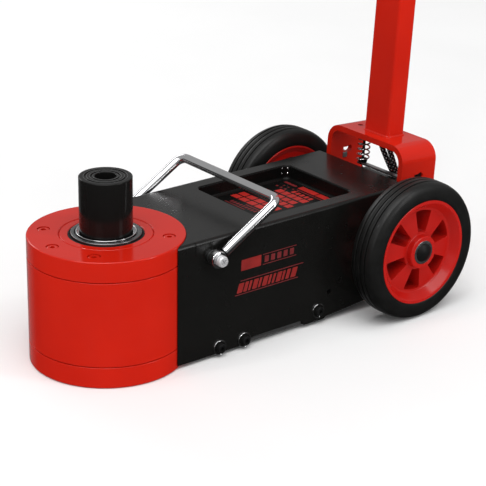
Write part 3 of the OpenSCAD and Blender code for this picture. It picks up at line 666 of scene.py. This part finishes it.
def build_saddle_edges():
    """Painted highlights: thin bright metal rings on the edges of the saddle face's rings, where they catch
    the light.
    """
    edges = [lathe([(r - 0.35, SADDLE_Z - 0.2), (r + 0.35, SADDLE_Z - 0.2), (r + 0.35, SADDLE_Z + 0.06),
                    (r - 0.35, SADDLE_Z + 0.06)], 96) for r in (16.4, 20.6, 24.4, 28.6)]
    finished("saddle_edges", joined(edges), EDGE_HIGHLIGHT, "extension")


build_base_and_jacket()
build_cap()
build_gland()
build_cap_bolts()
build_first_stage()
build_second_stage()
build_extension()
build_saddle_edges()


# ---- chassis ----

SIDE_SPOTS = [(115, 13), (157, 13), (288.5, 20.7)]
SIDE_HOLE = (308.7, 43.7)


def sheet_section(radius):
    """Outline across the chassis of the folded top and sides, in Y and Z."""
    w, top = CHASSIS_W, CHASSIS_TOP
    outer = [(w, 0), (w, top), (-w, top), (-w, 0)]
    inner = [(-w + SHEET, 0), (-w + SHEET, top - SHEET), (w - SHEET, top - SHEET), (w - SHEET, 0)]
    return rounded(outer + inner, [0, radius, radius, 0, 0, radius - SHEET, radius - SHEET, 0], 6)


def build_chassis():
    section = prism(sheet_section(5), CHASSIS_FRONT, CHASSIS_REAR)
    folded = moved(section, LENGTHWISE)
    below = [(30, -5), (460, -5), (CHASSIS_REAR + 15, 18.2), (CHASSIS_REAR, 20), (378, 13.8), (304, 8),
             (300, 5), (263, 5), (260, 13), (170, 13), (168, 5), (30, 5)]
    below = rounded(below, [0, 0, 0, 0, 20, 3, 3, 2, 2, 2, 2, 0], 4)
    waste = moved(prism(below, -120, 120), Matrix.Rotation(math.pi / 2, 4, "X"))
    cutters = [waste, drum(BARREL_R + 0.6, -10, 200, 0, 160)]
    opening = prism([(x + (TRAY_LOW.x + TRAY_HIGH.x) / 2, y) for x, y in
                     rectangle(TRAY_HIGH.x - TRAY_LOW.x, TRAY_HIGH.y - TRAY_LOW.y, 12)], 150, 190)
    cutters.append(opening)
    cutters += [bore(x, z, 3, 24) for x, z in SIDE_SPOTS]
    cutters += [bore(*SIDE_HOLE, 4, 32), bore(BAIL.x, BAIL.z, 6, 32), bore(AXLE.x, AXLE.z, AXLE_R, SMALL)]
    for side in (-1, 1):
        cutters.append(box_mesh((74, side * 93 - 3, 154), (75, side * 93 + 3, CHASSIS_TOP - 0.6)))
    for cutter in cutters:
        folded = cut(folded, [cutter])
    folded = bevelled(folded, 0.5, 2, 50)
    finished("folded_chassis", folded, BLACK, "chassis", ["chassis_shell"])
    inside = CHASSIS_W - SHEET
    wall = box_mesh((CHASSIS_REAR - 2 * SHEET, -inside, 22),
                    (CHASSIS_REAR - SHEET, inside, CHASSIS_TOP - SHEET))
    wall = cut(wall, [box_mesh((CHASSIS_REAR - 20, -50, 75), (CHASSIS_REAR + 5, 4, 121))])
    finished("chassis_back_wall", bevelled(wall, 0.5), BLACK, "chassis")
    shelf = box_mesh((CHASSIS_REAR - 5, -68, 155), (PIVOT.x + 3, 28, 158))
    finished("guard_shelf", bevelled(shelf, 0.8), BLACK, "chassis")


def build_tray():
    """A pressed pan: its rim rolls over into the wall and the wall into the floor."""
    centre = (TRAY_LOW + TRAY_HIGH) / 2
    width, depth = TRAY_HIGH.x - TRAY_LOW.x, TRAY_HIGH.y - TRAY_LOW.y
    floor_z, top_z = TRAY_LOW.z + 2, CHASSIS_TOP
    inside = [(0.0, top_z - 0.2), (0.9, top_z - 0.5), (1.7, top_z - 1.3), (2.0, top_z - 2.4)]
    inside += [(2.0 + 5 * (1 - math.cos(a)), floor_z + 5 * (1 - math.sin(a)))
               for a in [math.radians(15 * k) for k in range(7)]]
    outside = [(0.0, top_z - 1.0), (0.4, top_z - 3), (0.4, TRAY_LOW.z + 6), (2.2, TRAY_LOW.z + 1.6),
               (6.0, TRAY_LOW.z)]
    rings = [(i, z) for i, z in reversed(outside)] + inside
    points, faces = [], []
    for inset, z in rings:
        outline = rectangle(width - 2 * inset, depth - 2 * inset, max(12 - inset, 3), 8)
        points += [(x + centre.x, y, z) for x, y in outline]
        count = len(outline)
    for i in range(len(rings) - 1):
        faces += quads(i * count, (i + 1) * count, count)
    last = (len(rings) - 1) * count
    faces += [list(range(count)), list(range(last, last + count))[::-1]]
    finished("pressed_tray", mesh_of(points, faces), PAN, "chassis", ["tray_pan"])


def build_side_bolts():
    washers, rims, bolts = [], [], []
    for side in (-1, 1):
        for x, z in SIDE_SPOTS:
            place = outward(side, x, CHASSIS_W, z)
            washers.append(moved(ring(9.8, 3.2, 0, 1.8, 0.3, 48), place))
            rims.append(moved(ring(10.5, 9.6, 0, 1.9, 0.4, 48), place))
            head = screw_head(6.5, 1.8, 7.3, 1.0, 3.4, 4, 40)
            bolts.append(moved(bevelled(head, 0.3, 2, 45), place))
            bolts.append(moved(drum(3, -14, 1.8, 0.4, 24), place))
    finished("wide_washers", joined(washers), BLACK, "chassis", ["side_washers"])
    finished("washer_edges", joined(rims), CHROME, "chassis")
    finished("side_screws", joined(bolts), PLASTIC, "chassis", ["side_bolts"])


build_chassis()
build_tray()
build_side_bolts()


# ---- printed marks: plain blocks and stripes, no lettering ----

def decal(name, outlines, material, z):
    finished(name, joined([prism(o, z, z + 0.25) for o in outlines]), material, "chassis",
             sharp=20, weighted=False)


def skewed(x0, x1, y0, y1, lean=0.0):
    return rounded([(x0, y0), (x1, y0), (x1 + lean, y1), (x0 + lean, y1)], 0.8, 2)


def blocks(x, width, height, start, step, count):
    """A row of blocks across the tray, at x."""
    return [skewed(x, x + width, start - height - step * k, start - step * k) for k in range(count)]


def build_tray_marks():
    floor_z = TRAY_LOW.z + 2 - 0.05
    near = blocks(255, 11, 15, 62, 17.5, 5) + blocks(268.5, 11.5, 15, 62, 17.5, 5)
    near += blocks(288, 12, 10, 60, 12.5, 7) + blocks(303, 11, 12, 52, 14.5, 5)
    near += blocks(318, 12, 11, 40, 13, 5) + blocks(333, 8, 6, 22, 9, 5) + blocks(351, 11, 36, 28, 38, 2)
    dim = blocks(229, 3, 52, 45, 0, 1) + blocks(235, 2, 44, 50, 0, 1) + blocks(240, 6, 4, 45, 6.5, 9)
    dim += blocks(248.5, 2.5, 34, 20, 0, 1) + blocks(333, 4, 4, 56, 9, 3) + blocks(342, 3, 3, 50, 10, 4)
    dim += blocks(345.5, 2, 60, 24, 0, 1) + blocks(352, 5, 26, 60, 0, 1)
    decal("tray_print", near, PRINT, floor_z)
    decal("tray_print_dim", dim, PRINT_DIM, floor_z)


def build_tray_glints():
    """Painted glints: four chrome domes in the tray's far rear corner, standing in for reflections of the
    lamps in the corner's curve.
    """
    corner, inset = 10, 12
    centre = Vector((TRAY_HIGH.x - inset, TRAY_HIGH.y - inset, 0))
    dome = lathe([(0, 0.9), (0.7, 0.75), (1.2, 0.3), (1.3, -0.4), (0, -0.4)], 20, closed=False)
    heads = []
    for turn in (0, 50):
        a = math.radians(turn)
        spot = centre + Vector((corner * math.sin(a), corner * math.cos(a), 0))
        for z in (160.5, 168.5):
            heads.append(moved(dome, Matrix.Translation((spot.x, spot.y, z)) @ Matrix.Rotation(-a, 4, "Z")
                               @ Matrix.Rotation(math.pi / 2, 4, "X")))
    finished("tray_painted_glints", joined(heads), CHROME, "chassis")


def build_side_marks():
    """Plain blocks over a row of slanted bars between two lines, on both side plates."""
    lean, bar_h = 0.32, 13.6
    low_row, high_row = 83.6, 114.6
    bars = [(143, 152), (154, 160), (162, 166), (169, 177), (179, 183), (186, 194), (196, 200), (203, 207),
            (210, 218), (220, 224), (227, 233), (236, 245)]
    bright = [skewed(150, 184, high_row, high_row + 15.5, 0.5)]
    bright += [skewed(x0, x1, low_row, low_row + bar_h, bar_h * lean) for x0, x1 in bars]
    dim = [skewed(190 + 11 * k, 197 + 11 * k, high_row + 3.2, high_row + 12.2, 0.5) for k in range(5)]
    dim += [skewed(187, 246, high_row + z, high_row + z + 1, 0) for z in (0, 14.4)]
    dim += [skewed(140, 250, 80.6, 81.8, 0.3), skewed(149, 259, 99.8, 101, 0.3)]
    for side in (-1, 1):
        turn = Matrix(((1, 0, 0, 0), (0, 0, side, 0), (0, 1, 0, 0), (0, 0, 0, 1)))
        place = Matrix.Translation((0, side * CHASSIS_W, 0)) @ turn
        label = "near" if side < 0 else "far"
        for name, shapes, material in (("side_print_", bright, PRINT_SIDE), ("side_lines_", dim, PRINT_DIM)):
            marks = joined([moved(prism(o, -0.05, 0.2), place) for o in shapes])
            finished(name + label, marks, material, "chassis", sharp=20, weighted=False)


build_tray_glints()
build_tray_marks()
build_side_marks()


# ---- wheels ----

def tyre_profile():
    half = WHEEL_W / 2
    seat, top = 75.5, TYRE_R
    side = [(seat, half - 1.2), (seat + 1.4, half - 0.2), (seat + 6, half), (seat + 13, half - 0.4),
            (seat + 18, half - 1.6), (seat + 21.2, half - 3.4)]
    shoulder = [(top - 2.6, half - 4.6), (top - 1.2, half - 7.0)]
    tread = []
    for centre in (9.0, 0.0, -9.0):
        tread += [(top - 0.25, centre + 1.9), (top - 0.6, centre + 1.3), (top - 2.4, centre + 0.9),
                  (top - 2.4, centre - 0.9), (top - 0.6, centre - 1.3), (top - 0.25, centre - 1.9)]
        if centre > -9:
            tread.append((top, centre - 4.5))
    right = side + shoulder
    left = [(r, -h) for r, h in reversed(right)]
    return right + tread + left


def window_cutter(turn):
    """An annular sector with rounded corners, for one opening between two spokes."""
    r0, r1, half_angle = 27.5, 58.5, math.radians(15)
    inner = [(r0 * math.cos(a), r0 * math.sin(a)) for a in (half_angle, 0, -half_angle)]
    outer = [(r1 * math.cos(a), r1 * math.sin(a)) for a in
             (-half_angle, -half_angle / 2, 0, half_angle / 2, half_angle)]
    outline = rounded(inner + outer, [1.5, 0, 1.5, 2.5, 0, 0, 0, 2.5], 4)
    return moved(prism(outline, -40, 40), Matrix.Rotation(turn, 4, "Z"))


def build_wheel(side, label):
    half = WHEEL_W / 2
    place = outward(side, AXLE.x, high("tyre_right").y - half, AXLE.z)
    body = "wheel_" + label
    tyre = moved(lathe(tyre_profile(), 144), place)
    finished("solid_tyre_" + label, tyre, TYRE, body, ["tyre_" + label], sharp=40)
    hub, bore, web_back = 23.5, 17, half - 42
    outline = [(bore, half), (hub, half), (hub + 0.7, half - 9.5), (59, half - 12.5), (62, half - 12),
               (70.2, half - 1.2), (71.4, half), (75.5, half), (75.5, -half), (73.2, -half), (66, web_back),
               (58, web_back), (hub + 0.7, web_back), (hub, -half), (bore, -half)]
    sizes = [0.6, 1.6, 1.2, 1.5, 4.0, 0.8, 0.5, 0.8, 0.8, 0.5, 2.0, 2.0, 1.2, 1.6, 0.6]
    rim = lathe(rounded(outline, sizes, 4), 144)
    windows = [window_cutter(math.radians(22 + 60 * k)) for k in range(6)]
    rim = bevelled(cut(rim, windows), 0.8, 3, 50)
    finished("spoked_rim_" + label, moved(rim, place), RIM, body, ["rim_" + label])
    dome = [(0, half + 5.3), (5, half + 4.9), (9.5, half + 3.5), (12.6, half + 1.6), (13.6, half - 0.6),
            (13.6, half - 2), (0, half - 2)]
    cap = lathe(dome, 64, closed=False)
    finished("push_cap_" + label, moved(cap, place), PLASTIC, body, ["hub_cap_" + label])


build_wheel(-1, "left")
build_wheel(1, "right")


# ---- bail ----

def build_bail():
    rod, arm, y, bend = 6.5, 117.7, 106.5, 13
    angle = math.radians(30.7)
    across = []
    for side in (-1, 1):
        start = Vector((13, side * y, 0))
        corner = [Vector((arm - bend + bend * math.sin(a), side * (y - bend + bend * math.cos(a)), 0))
                  for a in [math.radians(10 * k) for k in range(10)]]
        part = [start] + corner
        across = part if side < 0 else across + part[::-1]
    bar = tube_along(across, rod, 28)
    eyes = []
    for side in (-1, 1):
        eye = lathe(rounded([(6.05, -6.2), (12, -6.2), (12, 6.2), (6.05, 6.2)], [0.6, 2.2, 2.2, 0.6], 4), 48)
        eyes.append(at(along_y(eye, side), 0, side * y, 0))
    place = Matrix.Translation(BAIL) @ Matrix.Rotation(-angle, 4, "Y")
    finished("bail_bar", moved(joined([bar] + eyes), place), CHROME, "bail", ["bail_handle"])


def cross_recess(size, z0, z1):
    return [box_mesh((-size, -size / 4.5, z0), (size, size / 4.5, z1)),
            box_mesh((-size / 4.5, -size, z0), (size / 4.5, size, z1))]


def build_bail_screws():
    heads, shanks = [], []
    for side in (-1, 1):
        outline = [(0, 18.3), (7.6, 18.3), (7.6, 24), (6.6, 25.7), (0, 26)]
        head = lathe(rounded(outline, [0, 0.4, 1.0, 0.8, 0], 4), SMALL, closed=False)
        for arm in cross_recess(4.3, 22.4, 30):
            head = cut(head, [arm])
        shank = drum(6, -13, 18.6, 0.3, 40)
        sleeve = ring(9, 6, 0, 4.7, 0.5, 40)
        place = outward(side, BAIL.x, CHASSIS_W, BAIL.z)
        heads.append(moved(bevelled(head, 0.25, 2, 45), place @ Matrix.Rotation(0.5, 4, "Z")))
        shanks.append(moved(joined([shank, sleeve]), place))
    finished("bail_pivot_screws", joined(shanks), ZINC, "chassis", ["bail_screws"])
    finished("bail_screw_heads", joined(heads), NICKEL, "chassis")


build_bail()
build_bail_screws()


# ---- handle ----

def u_outline(width, top, radius, foot):
    """One edge of an upside-down U, in Y and height, from its near foot to its far foot."""
    path = [Vector((-width, foot))]
    for k in range(13):
        a = math.radians(180 - 7.5 * k)
        path.append(Vector((-width + radius + radius * math.cos(a), top - radius + radius * math.sin(a))))
    path += [Vector((-p.x, p.y)) for p in reversed(path)]
    return path


def stud_block(half, y0, y1):
    return box_mesh((STUD_V - half, y0, STUD_U - half), (STUD_V + half, y1, STUD_U + half))


def build_yoke():
    foot = -45
    outer = u_outline(YOKE_W, YOKE_TOP, 25, foot)
    inner = u_outline(YOKE_W - YOKE_T, YOKE_TOP - YOKE_T, 16.5, foot)
    band = prism([(p.x, p.y) for p in outer + inner[::-1]], LEG_V - LEG_W / 2, LEG_V + LEG_W / 2)
    band = moved(band, LENGTHWISE)
    pivot = HANDLE.inverted() @ PIVOT
    round_foot = bore(pivot.x, pivot.z, LEG_W / 2, 96, 95)
    waste = cut(box_mesh((-40, -100, -70), (170, 100, pivot.z)), [round_foot])
    cutters = [waste, bore(pivot.x, pivot.z, 11, SMALL, 100),
               at(prism(rectangle(TUBE_D - 6, TUBE_W - 6, 2), 95, 140), TUBE_V),
               at(drum(ROD_R + 0.1, 90, YOKE_TOP - 1.8, 0, 24), ROD_V, ROD_Y),
               at(drum(TOP_HOLE_R, 90, 140, 0, 32), TOP_HOLE_V, TOP_HOLE_Y),
               box_mesh((52.3, 2 - YOKE_W, LATCH_U - 0.2), (59.7, 0, LATCH_U + 7.2)),
               bore(KEYHOLE_V, KEYHOLE_U, KEYHOLE_R, 40, 95),
               box_mesh((KEYWAY_V, -95, KEYHOLE_U - KEYWAY_H), (KEYHOLE_V, 95, KEYHOLE_U + KEYWAY_H)),
               stud_block(STUD_HALF, 60, 95)]
    for cutter in cutters:
        band = cut(band, [cutter])
    band = bevelled(band, 1.3, 3, 50)
    finished("bent_yoke", moved(band, HANDLE), RED, "handle", ["yoke"])


def build_tube():
    tube = cut(prism(rectangle(TUBE_D, TUBE_W, 4.5, 6), YOKE_TOP, HANDLE_TOP),
               [prism(rectangle(TUBE_D - 6, TUBE_W - 6, 2, 4), YOKE_TOP - 5, HANDLE_TOP + 5)])
    finished("steering_tube", moved(at(tube, TUBE_V), HANDLE), RED, "handle", ["handle_tube"])
    bead = weld_bead(rectangle(TUBE_D + 0.6, TUBE_W + 0.6, 5, 6), 1.7, 5)
    finished("tube_weld", moved(at(bead, TUBE_V, 0, YOKE_TOP + 0.2), HANDLE), RED, "handle",
             weighted=False)


def build_yoke_details():
    """The plug in the yoke's top, a black sheet in the near keyhole as painted shade, and the stud in the
    far leg.
    """
    outline = [(0, YOKE_TOP - 6), (TOP_HOLE_R - 0.1, YOKE_TOP - 6), (TOP_HOLE_R - 0.1, YOKE_TOP - 0.8),
               (0, YOKE_TOP - 0.8)]
    plug = lathe(rounded(outline, [0, 0.2, 0.6, 0], 3), 32, closed=False)
    finished("top_plug", moved(at(plug, TOP_HOLE_V, TOP_HOLE_Y), HANDLE), PLASTIC, "handle")
    # Painted shade: a black sheet fills the near keyhole so that it reads dark
    inner, outer, play = YOKE_W - YOKE_T + 0.5, YOKE_W - 3, 0.1
    bar = box_mesh((KEYWAY_V + play, -outer, KEYHOLE_U - KEYWAY_H + play),
                   (KEYHOLE_V - 3, -inner, KEYHOLE_U + KEYWAY_H - play))
    disc = at(along_y(drum(KEYHOLE_R - play, inner, outer, 0.3, 40), -1), KEYHOLE_V, 0, KEYHOLE_U)
    shade_sheet = joined([disc, bar])
    finished("keyhole_painted_shade", moved(shade_sheet, HANDLE), PLASTIC, "handle")
    stud = bevelled(stud_block(STUD_HALF - 0.05, 70.5, 81.5), 0.8, 3)
    finished("square_stud", moved(stud, HANDLE), ZINC, "handle", ["keeper_stud"])


def weld_bead(outline, radius, spacing):
    """A closed bead with the ripples of a weld, along an outline."""
    corners = [Vector((*p, 0)) for p in outline]
    line = []
    for a, b in zip(corners, corners[1:] + corners[:1]):
        steps = max(1, round((b - a).length / 0.8))
        line += [a.lerp(b, k / steps) for k in range(steps)]
    count, sides = len(line), 10
    points, faces = [], []
    travelled = 0.0
    for i, point in enumerate(line):
        heading = (line[(i + 1) % count] - line[i - 1]).normalized()
        across = Vector((heading.y, -heading.x, 0))
        travelled += (line[(i + 1) % count] - point).length
        r = radius * (1 + 0.10 * abs(math.sin(math.pi * travelled / spacing)))
        points += [point + across * x + Vector((0, 0, y)) for x, y in polygon(r, sides)]
    for i in range(count):
        faces += quads(i * sides, (i + 1) % count * sides, sides)
    return mesh_of(points, faces)


def build_top():
    """Cross bar and grips at the top of the tube."""
    bar = at(along_y(drum(12.5, -150, 150, 0.8, 48)), TUBE_V, 0, HANDLE_TOP + 12.5)
    block = prism(rectangle(TUBE_D, TUBE_W, 4.5, 5), HANDLE_TOP, HANDLE_TOP + 25)
    block = bevelled(at(block, TUBE_V), 1.2, 3, 50)
    finished("top_bar", moved(joined([bar, block]), HANDLE), RED, "handle", ["cross_bar"])
    grips = []
    for side in (-1, 1):
        profile = [(12.5, 45), (19.6, 45), (20, 46), (20, 49), (19.4, 50), (16.5, 51.5)]
        for k in range(16):
            start = 55 + 5.6 * k
            profile += [(16.5, start), (16.1, start + 0.6), (15.5, start + 0.9), (15.5, start + 2.1),
                        (16.1, start + 2.4), (16.5, start + 3.0)]
        profile += [(16.5, 150), (16.0, 152.6), (14.5, 153.8), (0, 154), (0, 150.6), (12.5, 150.6)]
        grip = lathe(profile, 48, closed=True)
        grips.append(moved(at(along_y(grip, side), TUBE_V, 0, HANDLE_TOP + 12.5), HANDLE))
    finished("ribbed_grips", joined(grips), RUBBER, "handle", ["grips"], sharp=45)


build_yoke()
build_tube()
build_yoke_details()
build_top()


# ---- latch ----

def coil_line(centre, radius, low_z, high_z, turns, per_turn=28):
    count = round(turns * per_turn)
    return [Vector((centre[0] + radius * math.cos(math.tau * k / per_turn),
                    centre[1] + radius * math.sin(math.tau * k / per_turn),
                    low_z + (high_z - low_z) * k / count)) for k in range(count + 1)]


def stretch_between(spring):
    spring.parent = None
    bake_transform(spring)


def build_latch():
    low_z, high_z = LATCH_U + 4.2, YOKE_TOP - YOKE_T - 1.2
    coil = moved(tube_along(coil_line((ROD_V, ROD_Y), 8.8, low_z, high_z, 5.5), 1.1, 10), HANDLE)
    spring = finished("latch_coil", coil, SPRING, "handle", ["latch_spring"], weighted=False)
    stretch_between(spring)
    parts = [at(drum(ROD_R, LATCH_U, 114.3, 0.4, 32), ROD_V, ROD_Y),
             at(ring(6.4, ROD_R - 0.05, LATCH_U + LATCH_T, LATCH_U + 9, 0.8, 40), ROD_V, ROD_Y)]
    finished("latch_pin", moved(joined(parts), HANDLE), RAM_BLACK, "latch", ["latch_rod"])
    near, reach = 71, 88.5
    outline = [(52, -near), (52.5, -near), (52.5, -reach), (59.5, -reach), (59.5, -near), (60, -near),
               (60, 38), (52, 38)]
    outline = rounded(outline, [0, 0, 1.5, 1.5, 0, 0, 2.5, 2.5], 4)
    plate = bevelled(prism(outline, LATCH_U, LATCH_U + LATCH_T), 0.4, 2, 50)
    finished("latch_strip", moved(plate, HANDLE), ZINC, "latch", ["latch_plate"])


build_latch()


# ---- hoses: whole runs, each one fixed mesh that curves up past the handle's hinge ----

SUPPLY_ROUTE = [
    (253, 0, 130), (275, 0, 130), (310, -3, 129), (340, -7, 127), (370, -12, 125), (400, -16, 123),
    (425, -19, 118), (445, -22, 107), (460, -24, 100), (472, -24, 101), (482, -24, 105),
    (489, -24, 113), (495, -24, 124), (499, -22, 138), (498, -18, 153), (494, -13, 167),
    (490, -7, 182), (488, 2, 200), (488, 8, 225), (488, 9, 260),
]
RELEASE_ROUTE = [
    (246, -24, 40), (260, -24, 40), (278, -27, 43), (303, -33, 51), (335, -38, 64), (365, -42, 73),
    (395, -43, 77), (425, -43, 79), (448, -42, 87), (462, -40, 95), (472, -38, 101),
    (482, -38, 106), (489, -38, 113), (496, -37, 124), (501, -33, 138), (500, -26, 153),
    (497, -20.5, 167), (494, -16, 182), (491, -11, 200), (491, -8, 225), (491, -8, 260),
]
HOSE_R = 3.9


def build_hose(name, route, nodes):
    mesh = tube_along(smooth_line(route, 8), HOSE_R, 24, turns_per_mm=0.16, strands=4)
    hose = finished(name, mesh, BRAID, "chassis", nodes, weighted=False)
    stretch_between(hose)


build_hose("supply_line", SUPPLY_ROUTE, ["supply_hose_lower", "supply_hose_upper"])
build_hose("release_line", RELEASE_ROUTE, ["release_hose_lower", "release_hose_upper"])


# ---- air motor's return spring ----

def build_motor_spring():
    wire = 1.8
    foot, top = low("motor_spring"), high("motor_spring")
    low_z, high_z = foot.z + wire, top.z - wire
    middle = (foot + top) / 2
    line = coil_line((middle.x, 0), top.y - wire, low_z, high_z, 5)
    spring = finished("return_spring", tube_along(line, wire, 12), SPRING, "chassis",
                      ["motor_spring"], weighted=False)
    stretch_between(spring)


build_motor_spring()


# ---- the other pieces: small rounds on their edges ----

def refine_rest():
    bodies = {node: body for body, nodes in RECORD["behaviour"]["bodies"].items() for node in nodes}
    for name, node in frame["nodes"].items():
        if name in stood_for:
            continue
        work = bmesh.new()
        work.from_mesh(node.data)
        bmesh.ops.remove_doubles(work, verts=work.verts, dist=0.01 * MM)
        mesh = bpy.data.meshes.new("mesh")
        work.to_mesh(mesh)
        work.free()
        mesh.transform(Matrix.Scale(1 / MM, 4))
        slot = SLOTS[name]
        mesh = bevelled(mesh, 0.5, 2, 40)
        finished(name + "_finish", mesh, SLOT_MATERIAL[slot], bodies[name], [name], sharp=38)


refine_rest()


# ---- studio ----

def add_studio():
    bpy.ops.mesh.primitive_plane_add(size=30, location=(0, 0, -0.0005))
    floor = bpy.context.object
    floor.name = "floor"
    material, tree, shader = nodes_of("floor")
    tree.links.new(mix(tree, spread(tree, noise(tree, 3), 0, 1), (0.91, 0.91, 0.91), (0.93, 0.93, 0.93)),
                   shader.inputs["Base Color"])
    shader.inputs["Roughness"].default_value = 0.7
    floor.data.materials.append(material)
    floor.visible_glossy = False

    world = bpy.data.worlds.new("world")
    bpy.context.scene.world = world
    world.use_nodes = True
    sky_tree = world.node_tree
    place = sky_tree.nodes.new("ShaderNodeTexCoord")
    split = sky_tree.nodes.new("ShaderNodeSeparateXYZ")
    sky_tree.links.new(place.outputs["Generated"], split.inputs["Vector"])
    rearward = sky_tree.nodes.new("ShaderNodeVectorMath")
    rearward.operation = "DOT_PRODUCT"
    rearward.inputs[1].default_value = (0.63, 0.78, 0)
    sky_tree.links.new(place.outputs["Generated"], rearward.inputs[0])
    floor_light = mix(sky_tree, spread(sky_tree, rearward.outputs["Value"], 0, 1, 0.45, 0.95),
                      (0.08, 0.08, 0.08), (1, 1, 1))
    height = spread(sky_tree, split.outputs["Z"], 0, 1, -0.02, 0.12)
    backdrop = sky_tree.nodes["Background"]
    sky_tree.links.new(mix(sky_tree, height, floor_light, (1, 1, 1)), backdrop.inputs["Color"])
    backdrop.inputs["Strength"].default_value = 0.34

    def lamp(kind, name, place, target):
        data = bpy.data.lights.new(name, kind)
        obj = bpy.data.objects.new(name, data)
        obj.location = place
        obj.rotation_euler = (Vector(target) - Vector(place)).to_track_quat("-Z", "Y").to_euler()
        bpy.context.scene.collection.objects.link(obj)
        return data

    sky = lamp("SUN", "sky", (-0.8, -0.9, 3), (0, 0, 0))
    sky.energy = 2.0
    sky.angle = math.radians(60)
    boxes = (("front", (-1.9, -1.0, 1.0), (1.2, 0.9), 4), ("right", (1.3, -2.2, 0.9), (0.6, 1.6), 13),
             ("rim", (0.2, 2.4, 1.5), (1.6, 0.5), 9))
    for name, place, size, power in boxes:
        data = lamp("AREA", name, place, (0.2, 0, 0.1))
        data.shape = "RECTANGLE"
        data.size, data.size_y = size
        data.energy = power
    for place in ((-1.9, 0.3, 1.9), (-0.6, -0.9, 2.6), (0.9, -1.5, 2.2)):
        data = lamp("AREA", "glint", place, (0.2, 0, 0.15))
        data.size, data.energy = 0.1, 3
    view = bpy.context.scene.view_settings
    view.view_transform = "Standard"
    view.look = "None"


add_studio()
